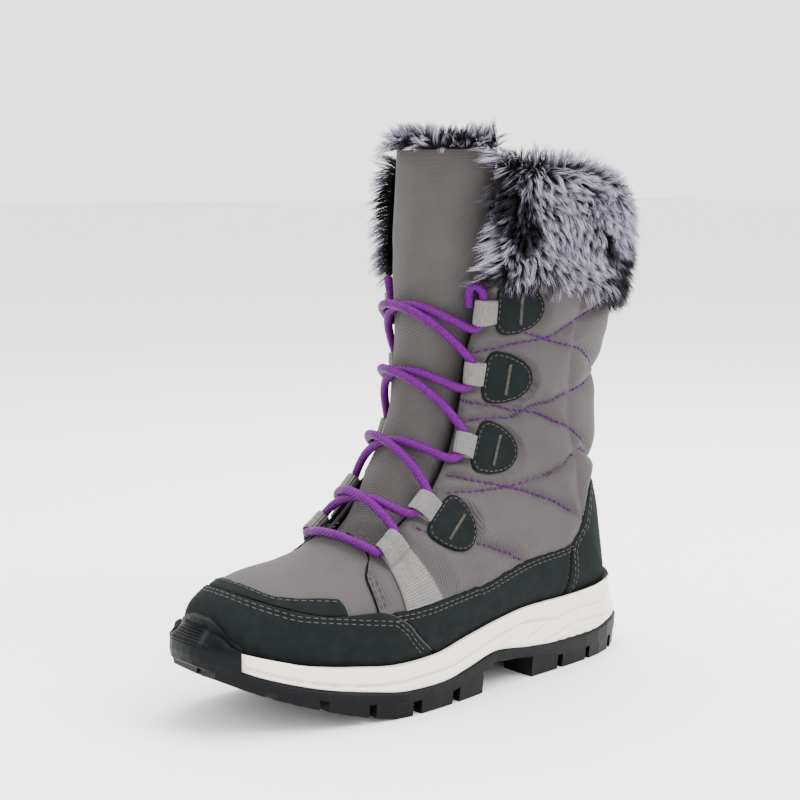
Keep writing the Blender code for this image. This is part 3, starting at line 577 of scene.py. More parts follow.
def on_form(tab, side, back, up):
    """Stations and turns of points at distances back and up from a tab's middle."""
    place, back_way, up_way = frame_at(tab[0], tab[1], tab[2], side)
    back, up = np.broadcast_arrays(np.asarray(back, float), np.asarray(up, float))
    s, v = np.full(back.shape, float(tab[0])), np.full(back.shape, tab[1] * side)
    for _ in range(6):
        here = form_point(s, v)
        along = (form_point(s + 0.01, v) - here) / 0.01
        across = (form_point(s, v + 0.002) - here) / 0.002
        a, b, c, d = along @ back_way, across @ back_way, along @ up_way, across @ up_way
        e, f = back - (here - place) @ back_way, up - (here - place) @ up_way
        whole = a * d - b * c
        s, v = s + (e * d - f * b) / whole, v + (a * f - c * e) / whole
    return s, v


def hashed(cells, seed):
    mixed = cells @ np.array((12.9898, 78.233, 37.719)) + seed * 4.137
    return np.abs(np.sin(mixed) * 43758.5453) % 1


def cloud(points, size, seed=0):
    """Smooth noise from 0 to 1 at points."""
    q = np.asarray(points, float) / size
    base = np.floor(q)
    f = q - base
    f = f * f * (3 - 2 * f)
    total = 0
    for corner in np.ndindex(2, 2, 2):
        corner = np.array(corner)
        weight = np.prod(np.where(corner, f, 1 - f), axis=-1)
        total = total + weight * hashed(base + corner, seed)
    return total


def nearest(points, targets, count=1):
    """For each point, the numbers and distances of its nearest targets."""
    tree = KDTree(len(targets))
    for k, target in enumerate(targets):
        tree.insert(target, k)
    tree.balance()
    found = [tree.find_n(point, count) for point in points]
    numbers = np.array([[hit[1] for hit in hits] for hits in found])
    away = np.array([[hit[2] for hit in hits] for hits in found])
    return numbers, away


# Pieces cut from the form

def form_run():
    s = np.linspace(0, TOP, 800)
    q = sections(s)
    paths = (q["base"], q["top"], (q["base"] + q["top"]) / 2)
    steps = sum(np.linalg.norm(np.diff(path, axis=0), axis=1) for path in paths) / 3
    return s, np.concatenate([[0], np.cumsum(steps)])


def skin(cell, low, high, turn_low=-1, turn_high=1):
    """Triangles of the form between two stations and two turns. A corner holds its station and turn."""
    s, run = form_run()
    ends = np.interp((low, high), s, run)
    s = np.interp(np.linspace(*ends, int((ends[1] - ends[0]) / cell) + 2), run, s)
    v = np.linspace(turn_low, turn_high, int(TURN_LENGTH * (turn_high - turn_low) / cell) + 2)
    grid = np.stack(np.meshgrid(s, v, indexing="ij"), -1)
    a, b, c, d = grid[:-1, :-1], grid[:-1, 1:], grid[1:, 1:], grid[1:, :-1]
    halves = [np.stack(three, -2).reshape(-1, 3, 2) for three in ((a, b, c), (a, c, d))]
    return np.concatenate(halves)


def crossing(a, b, keep):
    """The points between matching corners where keep is zero."""
    swap = (a[:, 0] > b[:, 0]) | ((a[:, 0] == b[:, 0]) & (a[:, 1] > b[:, 1]))
    a, b = np.where(swap[:, None], b, a), np.where(swap[:, None], a, b)
    low, high = np.zeros(len(a)), np.ones(len(a))
    sign = keep(a) > 0
    for _ in range(16):
        middle = (low + high) / 2
        same = (keep(a + (b - a) * middle[:, None]) > 0) == sign
        low, high = np.where(same, middle, low), np.where(same, high, middle)
    return a + (b - a) * ((low + high) / 2)[:, None]


def clip(triangles, keep):
    """The triangles, cut back to where keep is above zero."""
    inside = keep(triangles) > 0
    count = inside.sum(1)
    parts = [triangles[count == 3]]
    for wanted in (1, 2):
        some, flags = triangles[count == wanted], inside[count == wanted]
        if not len(some):
            continue
        lone = flags if wanted == 1 else ~flags
        order = (lone.argmax(1)[:, None] + np.arange(3)) % 3
        a, b, c = np.take_along_axis(some, order[..., None], 1).transpose(1, 0, 2)
        ab, ac = crossing(a, b, keep), crossing(a, c, keep)
        cut = [(a, ab, ac)] if wanted == 1 else [(ab, b, c), (ab, c, ac)]
        parts += [np.stack(three, 1) for three in cut]
    return np.concatenate(parts)


def weld(triangles):
    corners = triangles.reshape(-1, 2)
    place = form_point(corners[:, 0], corners[:, 1])
    cells = np.round(place * 1e6).astype(np.int64)
    _, first, index = np.unique(cells, axis=0, return_index=True, return_inverse=True)
    faces = index.reshape(-1, 3)
    whole = (faces != np.roll(faces, 1, axis=1)).all(1)
    return corners[first], faces[whole]


def rim_of(faces):
    """Edges that only one face uses, in that face's order."""
    edges = np.concatenate([faces[:, [0, 1]], faces[:, [1, 2]], faces[:, [2, 0]]])
    _, index, count = np.unique(np.sort(edges, axis=1), axis=0, return_inverse=True, return_counts=True)
    return edges[count[index.reshape(-1)] == 1]


def rim_distance(place, edges):
    """How far each point is from the nearest edge."""
    a, b = place[edges[:, 0]], place[edges[:, 1]]
    numbers, _ = nearest(place, (a + b) / 2, 3)
    start, way = a[numbers], (b - a)[numbers]
    out = place[:, None] - start
    share = np.clip((out * way).sum(-1) / np.maximum((way**2).sum(-1), 1e-14), 0, 1)
    return np.linalg.norm(out - share[..., None] * way, axis=-1).min(1)


def slab(triangles, lifts):
    """(points, faces, corners) between two distances from the form.

    lifts gives both at each corner's station, turn, place and distance from the rim."""
    corners, faces = weld(triangles)
    s, v = corners.T
    place, normal = form_point(s, v), form_normal(s, v)
    edges = rim_of(faces)
    low, high = lifts(s, v, place, rim_distance(place, edges))
    count = len(place)
    points = np.concatenate([place + normal * high[:, None], place + normal * low[:, None]])
    a, b = edges.T
    walls = np.stack([b, a, a + count, b + count], 1)
    return points, [faces, faces[:, ::-1] + count, walls], np.concatenate([corners, corners])


def add(name, points, faces, look, slot, corners=None, sharp=40):
    """An object from points and blocks of faces, which rides on the boot."""
    rows = [row for block in faces for row in np.asarray(block).tolist()]
    mesh = bpy.data.meshes.new(name)
    mesh.from_pydata(np.asarray(points).tolist(), [], rows)
    mesh.update()
    mesh.materials.append(look)
    mesh.shade_smooth()
    if sharp:
        mesh.set_sharp_from_angle(angle=math.radians(sharp))
    if corners is not None:
        weave(mesh, corners)
    obj = bpy.data.objects.new(name, mesh)
    bpy.context.scene.collection.objects.link(obj)
    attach(obj, "root")
    return obj


def weave(mesh, corners):
    """A UV map in metres: round the boot, and along it."""
    s, run = form_run()
    uv = np.stack([corners[:, 1] * TURN_LENGTH, np.interp(corners[:, 0], s, run)], -1)
    index = np.empty(len(mesh.loops), np.int32)
    mesh.loops.foreach_get("vertex_index", index)
    layer = mesh.uv_layers.new(name="weave")
    layer.data.foreach_set("uv", uv[index].astype(np.float32).ravel())


def on_bed(lift):
    """Above zero where the form is higher than the footbed by more than a lift."""

    def keep(c):
        place = form_point(c[..., 0], c[..., 1])
        return place[..., 2] - level("footbed", place[..., 0]) - lift

    return keep


def outside_throat(c):
    """Above zero outside the throat, whose foot is round."""
    s, v = c[..., 0], np.abs(c[..., 1])
    foot = (THROAT[0][0] + 7 * v * v - s) / 12
    return np.maximum(v - throat_turn(s), foot)


def under_collar(c):
    place = form_point(c[..., 0], c[..., 1])
    return collar_height(c[..., 1]) - place[..., 2]


def rounded(thickness, radius=PANEL_RADIUS):
    """A panel whose rim is rounded."""

    def lifts(s, v, place, rim):
        round_ = np.sqrt(1 - (1 - np.clip(rim / radius, 0, 1)) ** 2)
        low = np.full(len(s), GAP * 0.6)
        high = GAP + thickness * (0.35 + 0.65 * round_)
        return low, high + 0.0001 * (cloud(place, 0.012, 3) - 0.5)

    return lifts


def toe_cap():
    pieces = skin(CELL, 0.02, 6.1)
    pieces = clip(pieces, lambda c: cap_edge(c[..., 1]) - c[..., 0])
    return slab(clip(pieces, on_bed(PANEL_FOOT)), rounded(OVERLAY))


def toe_overlay():
    pieces = skin(CELL, 1.6, 4.3, -0.45, 0.45)
    pieces = clip(pieces, lambda c: line(STRIP_EDGE, np.abs(c[..., 1])) - c[..., 0])
    pieces = clip(pieces, lambda c: c[..., 0] - cap_edge(c[..., 1]) - 0.03)
    return slab(pieces, rounded(STRIP_THICKNESS, 0.0007))


def rand(side):
    turns = (0.36, 0.86) if side > 0 else (-0.86, -0.36)
    pieces = skin(CELL, 4.2, RAND_BACK, *turns)
    for keep in (
        lambda c: side * c[..., 1] - rand_top(c[..., 0]),
        lambda c: c[..., 0] - cap_edge(c[..., 1]) - 0.05,
        on_bed(PANEL_FOOT),
        lambda c: counter_front(c[..., 0]) - 0.006 - side * c[..., 1],
    ):
        pieces = clip(pieces, keep)
    return slab(pieces, rounded(OVERLAY))


def heel_counter():
    pieces = skin(CELL, COUNTER_FRONT[0][0], COUNTER_FRONT[-1][0], 0.53, 1.47)
    pieces = clip(pieces, lambda c: 1 - np.abs(c[..., 1] - 1) - counter_front(c[..., 0]))
    return slab(clip(pieces, on_bed(PANEL_FOOT)), rounded(OVERLAY))


# The quilted upper

def in_tab(points, tab, side):
    """How far points are inside a tab's outline and its loop, as a share of the tab."""
    place, back_way, up_way = frame_at(tab[0], tab[1], tab[2], side)
    back, up = ((points - place) @ way / TAB_LENGTH for way in (back_way, up_way))
    shape = np.array(TAB_SHAPE)
    angle = np.arctan2(shape[:, 1], shape[:, 0])
    reach = np.hypot(*shape.T)
    order = np.argsort(angle)
    edge = np.interp(np.arctan2(up, back), angle[order], reach[order], period=2 * math.pi)
    inside = 1 - np.hypot(back, up) / edge
    tape = np.minimum(0.30 - np.abs(up - tab[3]), np.minimum(back + 0.9, -back))
    far = np.linalg.norm(points - place, axis=1) > 0.04
    return np.where(far, -1, np.maximum(inside, tape))


def under_strap(s, turn):
    """How far, in stations, a place is from the vamp strap; zero or less beneath it."""
    _, front, back = strap_at(turn)
    return np.maximum(np.maximum(front - s, s - back) - 0.06, (turn - 0.46) * 12)


def seams():
    """Points of every line that holds the quilted fabric down, their depths, and distances along."""
    places, depths, alongs = [], [], []
    for side in (1, -1):
        for rows in QUILTING:
            s, v = line_on(rows, side)
            places.append(form_point(s, v))
            depths.append(np.full(len(s), VALLEY))
            alongs.append(lengths(places[-1]))
        for table in (THROAT, RAND_TOP, COUNTER_FRONT):
            rows = [row[:2] for row in table if 4 <= row[0] <= TOP]
            s, v = line_on(rows, side, 0.001)
            places.append(form_point(s, v))
            depths.append(np.zeros(len(s)))
            alongs.append(lengths(places[-1]))
    return np.concatenate(places), np.concatenate(depths), np.concatenate(alongs)


def quilted(s, v, place):
    """How far the quilted fabric stands out of the form."""
    points, depths, alongs = seams()
    numbers, away = nearest(place, points)
    number, away = numbers[:, 0], away[:, 0]
    swell = (1 - (1 - np.clip(away / PUFF_REACH, 0, 1)) ** 2) ** 0.8
    valley = depths[number] * np.exp(-((away / VALLEY_WIDTH) ** 2))
    size = PUFF * (0.75 + 0.5 * cloud(place, 0.03, 5))
    pucker = np.sin(alongs[number] * 2 * math.pi / PUCKER_PITCH + 3 * cloud(place, 0.01, 8))
    fold = PUCKER * pucker * np.exp(-away / 0.004) * np.clip(away / 0.0015, 0, 1)
    creases = CREASE * (cloud(place * (1, 1, 2.2), 0.014, 2) - 0.5) * swell
    turn = turn_of(v)
    counter = (s > COUNTER_FRONT[0][0]) & (s < COUNTER_FRONT[-1][0]) & (turn > counter_front(s))
    covered = (turn > rand_top(s)) & (s < RAND_BACK) | counter
    vamp = np.clip((s - 4.9) / 0.4, 0, 1)
    relief = (swell * size + fold + creases) * vamp - valley
    for side in (1, -1):
        for tab in TABS:
            relief *= np.clip(-in_tab(place, tab, side) / 0.16, 0, 1)
    relief *= np.clip(under_strap(s, turn) / 0.35, 0, 1)
    return np.where(covered, 0, relief)


def quarter_step(s, v):
    """The quarter's front edge stands on the vamp."""
    rows = np.array(QUARTER_EDGE)
    edge = smooth(rows[:, 1], rows[:, 0], np.clip(turn_of(v), rows[0, 1], rows[-1, 1]))
    return QUARTER_STEP * np.clip((s - edge) / 0.03, 0, 1)


def fabric(cell, low, foot):
    """The form's skin between the sole, the collar and the throat."""
    pieces = skin(cell, low, TOP)
    for keep in (on_bed(foot), under_collar, outside_throat):
        pieces = clip(pieces, keep)
    return pieces


def upper():
    """The quilted fabric, which lies flat under the fur and thins towards its free edges."""

    def lifts(s, v, place, rim):
        free = place[:, 2] - level("footbed", place[:, 0]) > FREE_EDGE
        edge = np.where(free, np.clip(rim / 0.002, 0, 1), 1)
        high = quilted(s, v, place) * edge - 0.0005 * (1 - edge) + quarter_step(s, v)
        furred = place[:, 2] > collar_height(v, 2) + 0.01
        return np.full(len(s), -WALL + 0.0009), np.where(furred, np.minimum(high, 0), high)

    return slab(fabric(QUILT_CELL, 1.5, 0.0011), lifts)


def lining():
    def lifts(s, v, place, rim):
        tuft = TUFT * cloud(place, 0.004, 6)
        return -WALL - tuft, np.full(len(s), -WALL + 0.0007)

    return slab(fabric(LINING_CELL, 0.3, 0.0045), lifts)


# Rows of rings

def sheet_faces(rows, turns, closed=True):
    """Quads between neighbouring rings of equal size."""
    i, j = np.meshgrid(np.arange(rows - 1), np.arange(turns if closed else turns - 1), indexing="ij")
    k = (j + 1) % turns
    low, high = i * turns, (i + 1) * turns
    return np.stack([low + j, low + k, high + k, high + j], -1).reshape(-1, 4)


def lofted(rings):
    """(points, faces) through a row of matching rings, closed at both ends."""
    rings = np.asarray(rings)
    rows, turns = rings.shape[:2]
    ends = [np.arange(turns)[None, ::-1], (rows - 1) * turns + np.arange(turns)[None]]
    return rings.reshape(-1, 3), [sheet_faces(rows, turns)[:, ::-1], *[end[:, ::-1] for end in ends]]


def tubes(centres, up, radii, sides, bumps=None):
    """(points, faces) of many tubes at once. centres and up are (tube, ring, 3); bumps scale the radii."""
    way = unit(np.gradient(centres, axis=1))
    side = unit(np.cross(way, up))
    lift = np.cross(side, way)
    angle = np.arange(sides) * 2 * math.pi / sides
    radius = np.broadcast_to(radii, centres.shape[:2])[..., None]
    if bumps is not None:
        radius = radius * bumps
    spread = np.cos(angle)[:, None] * side[:, :, None] + np.sin(angle)[:, None] * lift[:, :, None]
    points = centres[:, :, None] + radius[..., None] * spread
    count, rings = centres.shape[:2]
    one = sheet_faces(rings, sides)
    faces = one[None] + (np.arange(count) * rings * sides)[:, None, None]
    return points.reshape(-1, 3), [faces.reshape(-1, 4)]


def stitched(path, lift, kind=STITCH):
    """Tubes for a row of stitches along a line on the form."""
    length, gap, thread = kind
    s, v = path
    run = lengths(form_point(s, v))
    count = int(run[-1] / (length + gap))
    if count < 1:
        return None
    starts = (run[-1] - count * (length + gap) + gap) / 2 + np.arange(count) * (length + gap)
    at = starts[:, None] + np.array((0, 0.12, 0.5, 0.88, 1)) * length
    s, v = np.interp(at, run, s), np.interp(at, run, v)
    height = np.interp(at, run, np.broadcast_to(lift, run.shape))
    height = height + thread * np.array((-1.2, 0.15, 0.5, 0.15, -1.2))
    normal = form_normal(s, v)
    radii = thread * np.array((0.3, 0.9, 1, 0.9, 0.3))
    return tubes(form_point(s, v) + height[..., None] * normal, normal, radii, 6)


def merged(solids):
    points, blocks, start = [], [], 0
    for solid in solids:
        if solid is None:
            continue
        points.append(solid[0])
        blocks += [np.asarray(block) + start for block in solid[1]]
        start += len(solid[0])
    return np.concatenate(points), blocks


def turn_rows(table, low, high, count=30):
    """Rows of (station, turn) of a line whose table gives a station for each turn."""
    turns = np.linspace(low, high, count)
    return [(line(table, abs(t)), t) for t in turns]


def panel_stitches():
    """Cream rows beside the panels' edges: two along the cap, the rands and the counter, one on the strip."""
    top = GAP + OVERLAY
    rows = []
    cap = line_on(turn_rows(CAP_EDGE, -0.60, 0.60))
    rows += [(beside(cap, d), top) for d in (0.0022, 0.0042)]
    strip = line_on(turn_rows(STRIP_EDGE, -0.33, 0.33))
    rows.append((beside(strip, 0.0017), GAP + STRIP_THICKNESS))
    for side in (1, -1):
        rand_line = line_on([row for row in RAND_TOP if 4.9 < row[0] < 10.4], side)
        rows += [(beside(rand_line, side * d), top) for d in (0.0020, 0.0041)]
        counter = line_on([row for row in COUNTER_FRONT if row[1] < 1], side)
        rows += [(beside(counter, side * d), top) for d in (0.0021, 0.0042)]
    return merged([stitched(path, lift) for path, lift in rows])


def edge_stitches():
    """A cream row along the throat's edge, and two along the quarter's front edge."""
    rows = []
    for side in (1, -1):
        throat = line_on([row for row in THROAT if row[0] < 15], side)
        rows.append(beside(throat, side * 0.0026))
        quarter = line_on(QUARTER_EDGE, side)
        rows += [beside(quarter, side * d) for d in (-0.0020, -0.0044)]
    return merged([stitched(path, EDGE_STITCH_RISE) for path in rows])


def quilt_stitches():
    """The purple stitches along the quilting."""
    paths = [line_on(rows, side) for side in (1, -1) for rows in QUILTING]
    return merged([stitched(path, 0.0001, QUILT_STITCH) for path in paths])


def piping():
    """The dark cut edges round the throat and along the quarter's front."""
    solids = []
    for side in (1, -1):
        for rows, lift, radius in (
            ([row for row in THROAT if row[0] < 15.5], -0.0006, 0.0011),
            (QUARTER_EDGE, 0.0005, 0.0006),
        ):
            s, v = line_on(rows, side, 0.0015)
            normal = form_normal(s, v)
            solids.append(tubes((form_point(s, v) + lift * normal)[None], normal[None], radius, 8))
    return merged(solids)


# Tabs, loops and straps

TAB_PROFILE = (
    # share of the outline, height as a share of OVERLAY
    (1, 0),
    (1, 0.45),
    (0.99, 0.8),
    (0.965, 0.95),
    (0.92, 1),
    (0.85, 1),
    (0.75, 1),
    (0.6, 1),
    (0.45, 1),
    (0.3, 1),
    (0.15, 1),
    (0.03, 1),
)


def tab_outline(count):
    """The tab's outline, softened, at even steps round it."""
    shape = np.array(TAB_SHAPE + TAB_SHAPE[:1])
    run = lengths(shape)
    at = np.linspace(0, run[-1], count, endpoint=False)
    path = np.stack([np.interp(at, run, column_) for column_ in shape.T], -1)
    for _ in range(2):
        path = (np.roll(path, 1, 0) + 2 * path + np.roll(path, -1, 0)) / 4
    return path * TAB_LENGTH


def lace_tab(tab, side):
    """A slightly domed patch with a rounded edge, as rings from its foot in to its middle."""
    edge = tab_outline(72)
    rings = []
    for share, height in TAB_PROFILE:
        s, v = on_form(tab, side, *(edge * share).T)
        dome = 0.0005 * (1 - share**2)
        rings.append(lifted(s, v, np.full(len(s), TAB_GAP + OVERLAY * height + dome)))
    return lofted(rings if side < 0 else [ring[::-1] for ring in rings])


def tab_stitches(tab, side):
    """A row round the tab, and a close zigzag down its middle."""
    edge = tab_outline(200)
    loop = np.concatenate([edge, edge[:1]]) * 0.885
    row = stitched(even(*on_form(tab, side, *loop.T), 0.0004), TAB_GAP + OVERLAY + 0.0001, TAB_STITCH)
    up = np.linspace(-0.29, 0.29, ZIGZAGS) * TAB_LENGTH
    back = 0.03 * TAB_LENGTH + ZIGZAG_WIDTH / 2 * (-1.0) ** np.arange(ZIGZAGS)
    s, v = on_form(tab, side, back, up)
    normal = form_normal(s, v)
    ends = form_point(s, v) + normal * (TAB_GAP + OVERLAY + 0.0005)
    t = np.linspace(0, 1, 4)[None, :, None]
    centres = ends[:-1, None] * (1 - t) + ends[1:, None] * t
    zigzag = tubes(centres, np.repeat(normal[:-1, None], 4, 1), np.full(4, ZIGZAG_THREAD), 6)
    return merged([row, zigzag])


def resampled(path, step):
    path = np.asarray(path, float)
    run = lengths(path)
    at = np.linspace(0, run[-1], int(run[-1] / step) + 2)
    return np.stack([np.interp(at, run, c) for c in path.T], -1)


def fold(centre, start, back_height):
    """A tape's middle line: along the form, round the lace and back again, as (distance, height)."""
    low = LOOP_GAP + TAPE / 2
    radius = LACE / 2 + LACE_GAP + TAPE / 2
    angle = np.radians(np.linspace(-90, -315, 26))
    arc = np.stack([centre + radius * np.cos(angle), low + radius + radius * np.sin(angle)], -1)
    return np.concatenate([[(start, low)], arc, [(start, back_height)]])


def tape(path, place, seam=0.0):
    """A ribbed band of webbing along a path of (distance, height), with a groove down its middle if asked.

    place gives the station and turn for a distance and a share of the half width."""
    path = resampled(path, RIB / 4)
    for _ in range(3):
        path[1:-1] = (path[:-2] + 2 * path[1:-1] + path[2:]) / 4
    way = unit(np.gradient(path, axis=0))
    run = lengths(path)[:, None]
    edges = np.linspace(-1, 1, TAPE_POINTS)
    across = np.concatenate([edges, edges[::-1]])
    thick = np.repeat((-1.0, 1.0), len(edges))
    bump = RIB_HEIGHT * np.sin(2 * math.pi * run / RIB)
    groove = seam * np.exp(-((across / 0.09) ** 2))
    thin = TAPE / 2 * (1 - 0.35 * np.abs(across) ** 8)
    half = thick * (thin + bump - groove) + 0.00005 * np.cos(across * 20)
    fray = 1 + 0.018 * np.sin(run * 5200) + 0.012 * np.sin(run * 12900)
    s, v = place(path[:, :1] - way[:, 1:] * half, across * fray)
    return lofted(lifted(s, v, path[:, 1:] + way[:, :1] * half))


def lace_loop(tab, side):
    def place(distance, edge):
        return on_form(tab, side, distance, tab[3] * TAB_LENGTH + edge * TAPE_WIDTH / 2)

    start = TAB_SHAPE[0][0] * TAB_LENGTH - 0.0001
    return tape(fold(LACE_BACK, start, 0.0024), place)


def vamp_strap(side):
    """A tape from the rand to its fold. Its distances are turns of the form, scaled to metres."""

    def place(distance, edge):
        turn = STRAP[0][0] + distance / STRAP_SCALE
        share, front, back = strap_at(turn)
        return (front + back) / 2 + edge * (back - front) / 2, (turn + 0.016 * edge * share**2) * side

    foot = (STRAP[1][0] - STRAP[0][0]) * STRAP_SCALE + 0.0006
    path = fold(STRAP_FOLD, 0.012, 0.0021)
    return tape(np.concatenate([[(foot, path[0][1])], path]), place, 0.00035)


# The lace

LACE_END = (
    # station, turn and rise of the lace's hidden end, from where it leaves the top loop
    (-0.52, -0.038, -0.0016),
    (-0.25, -0.043, -0.0010),
    (0.02, -0.042, -0.0005),
    (0.16, -0.033, 0),
    (0.22, -0.016, 0.0004),
    (0.14, -0.002, 0.0002),
)


def loop_points(k, side, ends, clear=0.0):
    """Rows of (station, turn, rise) of the lace as it passes through loop k."""
    if k < len(TABS):
        tab = TABS[k]
        up = tab[3] * TAB_LENGTH + np.array(ends) * (TAPE_WIDTH / 2 + clear)
        s, v = on_form(tab, side, np.full(len(up), LACE_BACK), up)
        return np.stack([s, v, np.full(len(up), LACE_RISE)], -1)
    middle = (STRAP[0][1] + STRAP[0][2]) / 2
    s = middle + np.array(ends) * (STRAP[0][2] - STRAP[0][1]) * 0.62
    turn = side * (STRAP[0][0] + STRAP_FOLD / STRAP_SCALE)
    return np.stack([s, np.full(len(s), turn), np.full(len(s), LACE_RISE)], -1)


def crossing_points(start, finish, rise, count=24):
    """Rows of the lace between two loops, bowed over the tongue."""
    t = np.linspace(0, 1, count)
    ease = t - 0.13 * np.sin(2 * math.pi * t)
    s = start[0] + (finish[0] - start[0]) * (1 - (1 - t) ** 1.8)
    v = start[1] + (finish[1] - start[1]) * ease
    bow = np.exp(-(((t - 0.5) / 0.20) ** 2))
    lift = start[2] + (finish[2] - start[2]) * t + bow * rise
    return np.stack([s, v, lift], -1)[1:-1]


def strand(side):
    """The lace from its top end on one side down to the vamp strap, as rows of (station, turn, rise)."""
    s, v, rise = loop_points(0, side, (1,), 0.0007)[0]
    hidden = [(s + along, v + side * across, rise + up) for along, across, up in LACE_END]
    rows = [np.array(hidden)]
    here = side
    for k in range(len(TABS) + 1):
        rows.append(loop_points(k, here, np.linspace(1, -1, 7)))
        if k < len(TABS):
            finish = loop_points(k + 1, -here, (1,))[0]
            rise = LACE_OVER if here < 0 else LACE_UNDER
            rows.append(crossing_points(rows[-1][-1], finish, rise))
            here = -here
    return np.concatenate(rows)


def lace():
    """One cord through every loop."""
    left, right = strand(1), strand(-1)
    a, b = left[-1], right[-1]
    t = np.linspace(0, 1, 16)[1:-1]
    bend = 4 * t * (1 - t)
    bar = np.stack([a[0] - 0.25 * bend, a[1] + (b[1] - a[1]) * t, LACE_RISE - 0.0008 * bend], -1)
    rows = np.concatenate([left, bar, right[::-1]])
    path = resampled(lifted(*rows.T), 0.0005)
    for _ in range(14):
        path[1:-1] = (path[:-2] + 2 * path[1:-1] + path[2:]) / 4
    path = resampled(path, 0.00055)
    normal = resampled(form_normal(rows[:, 0], rows[:, 1]), 1e-3)
    at = np.linspace(0, 1, len(path))
    normal = unit(np.stack([np.interp(at, np.linspace(0, 1, len(normal)), c) for c in normal.T], -1))
    along = lengths(path)[:, None]
    angle = np.arange(LACE_SIDES) * 2 * math.pi / LACE_SIDES
    turn = 2 * math.pi * along / LACE_BRAID
    braid = 1 + 0.055 * np.cos(4 * angle + 4 * turn) * np.cos(4 * angle - 4 * turn)
    radii = np.full(len(path), LACE / 2)
    radii[[0, -1]] = 0.0002
    return tubes(path[None], normal[None], radii, LACE_SIDES, braid[None])


# Tongue, insole and fur

def drawn(table, count):
    """Each column of a table, at even steps down its rows."""
    table = np.array(table, float)
    return [np.interp(np.linspace(0, len(table) - 1, count), np.arange(len(table)), c) for c in table.T]


def tongue():
    """The padded tongue, as rings from the vamp up."""
    rows, sides = TONGUE_MESH
    stations = np.interp(np.linspace(0, 1, rows), (0, 0.25, 1), (4.7, 8.0, TOP))
    angle = np.linspace(0, 2 * math.pi, sides, endpoint=False)
    rings = []
    for s in stations:
        widest = np.interp(s, (13.2, 14.6), (1.28, 0.97))
        share = widest * np.sign(np.cos(angle)) * np.abs(np.cos(angle)) ** 0.42
        depth = np.sign(np.sin(angle)) * np.abs(np.sin(angle)) ** 0.55
        v = throat_turn(s) * share
        flat = form_point(np.full(len(v), s), v)
        soft = 0.0007 * (cloud(flat, 0.016, 4) - 0.5) * (depth > 0) * (s > 6.5)
        rings.append(lifted(s, v, tongue_lift(s, share) - TONGUE / 2 + depth * TONGUE / 2 + soft))
    points, faces = lofted([ring[::-1] for ring in rings])
    corners = np.stack([np.repeat(stations, sides), points[:, 1] / TURN_LENGTH], -1)
    return points, faces, corners


CUFF_PELT = (
    # distance from the form as a share of FUR, from hem (0) to collar (1), rise as a share of FUR
    (0.06, 0.04, 0.00),
    (0.40, 0.03, -0.05),
    (0.62, 0.12, 0.00),
    (0.66, 0.30, 0.00),
    (0.68, 0.50, 0.00),
    (0.66, 0.70, 0.00),
    (0.60, 0.88, 0.00),
    (0.48, 1.00, 0.10),
    (0.15, 1.00, 0.40),
    (-0.30, 1.00, 0.40),
    (-0.55, 0.98, 0.10),
    (-0.62, 0.85, 0.00),
    (-0.60, 0.68, 0.00),
)


def cuff_pelt(low, high):
    """A grid of the cuff's skin between two turns, which run on past 1 at the back."""
    rows, columns = CUFF_GRID
    away, share, rise = drawn(CUFF_PELT, columns)
    grid = []
    for turn in np.linspace(low, high, rows):
        v = turn - 2 if turn > 1 else turn
        hem, collar = collar_height(v, 2), collar_height(v, 1)
        points = lifted(shaft_station(v, hem + share * (collar - hem)), v, away * FUR)
        around = 1 - abs(turn - 1)
        points[:, 2] += rise * FUR
        points[:, 2] -= COLLAR_DROOP * np.clip(around * 3 - 2, 0, 1) * share**2
        points[:, 2] += COLLAR_RISE * np.clip(2.2 - around * 4, 0, 1) * share**2
        grid.append(points)
    return np.array(grid)


def tongue_pelt():
    """A grid of the skin of the fur on the tongue's top."""
    rows, columns = TONGUE_GRID
    grid = []
    for share in np.linspace(-0.95, 0.95, rows):
        face = tongue_lift(TOP, share)
        back = face - TONGUE - 2 * GAP
        table = (
            # station, distance, rise
            (TOP - 1.2, back - 0.30 * FUR, 0.0),
            (TOP - 0.5, back - 0.35 * FUR, 0.0),
            (TOP, back - 0.25 * FUR, 0.20 * FUR),
            (TOP, back + 0.10 * FUR, 0.42 * FUR),
            (TOP, face - 0.20 * FUR, 0.42 * FUR),
            (TOP, face + 0.03 * FUR, 0.20 * FUR),
            (TOP, face + 0.05 * FUR, 0.02 * FUR),
        )
        s, distance, rise = drawn(table, columns)
        points = lifted(s, throat_turn(TOP) * share, distance)
        points[:, 2] += rise
        grid.append(points)
    return np.array(grid)


def grid_at(grid, a, b):
    """Points of a grid at shares of its rows and columns."""
    i, j = a * (grid.shape[0] - 1), b * (grid.shape[1] - 1)
    i0 = np.clip(i.astype(int), 0, grid.shape[0] - 2)
    j0 = np.clip(j.astype(int), 0, grid.shape[1] - 2)
    fi, fj = (i - i0)[..., None], (j - j0)[..., None]
    top = grid[i0, j0] * (1 - fj) + grid[i0, j0 + 1] * fj
    bottom = grid[i0 + 1, j0] * (1 - fj) + grid[i0 + 1, j0 + 1] * fj
    return top * (1 - fi) + bottom * fi


def even_roots(grid, count, dice):
    """Random shares of a grid, spread evenly over its area."""
    a, b, c, d = grid[:-1, :-1], grid[:-1, 1:], grid[1:, 1:], grid[1:, :-1]
    area = np.linalg.norm(np.cross(c - a, d - b), axis=-1)
    picked = dice.choice(area.size, count, p=area.ravel() / area.sum())
    i, j = np.divmod(picked, area.shape[1])
    return (i + dice.random(count)) / area.shape[0], (j + dice.random(count)) / area.shape[1]


def grid_way(grid, a, b, turned=False):
    """Vectors along a grid's rows, or along its columns if turned."""
    step = (0, 0.01) if turned else (0.01, 0)
    ahead = grid_at(grid, np.clip(a + step[0], 0, 1), np.clip(b + step[1], 0, 1))
    return ahead - grid_at(grid, np.clip(a - step[0], 0, 1), np.clip(b - step[1], 0, 1))


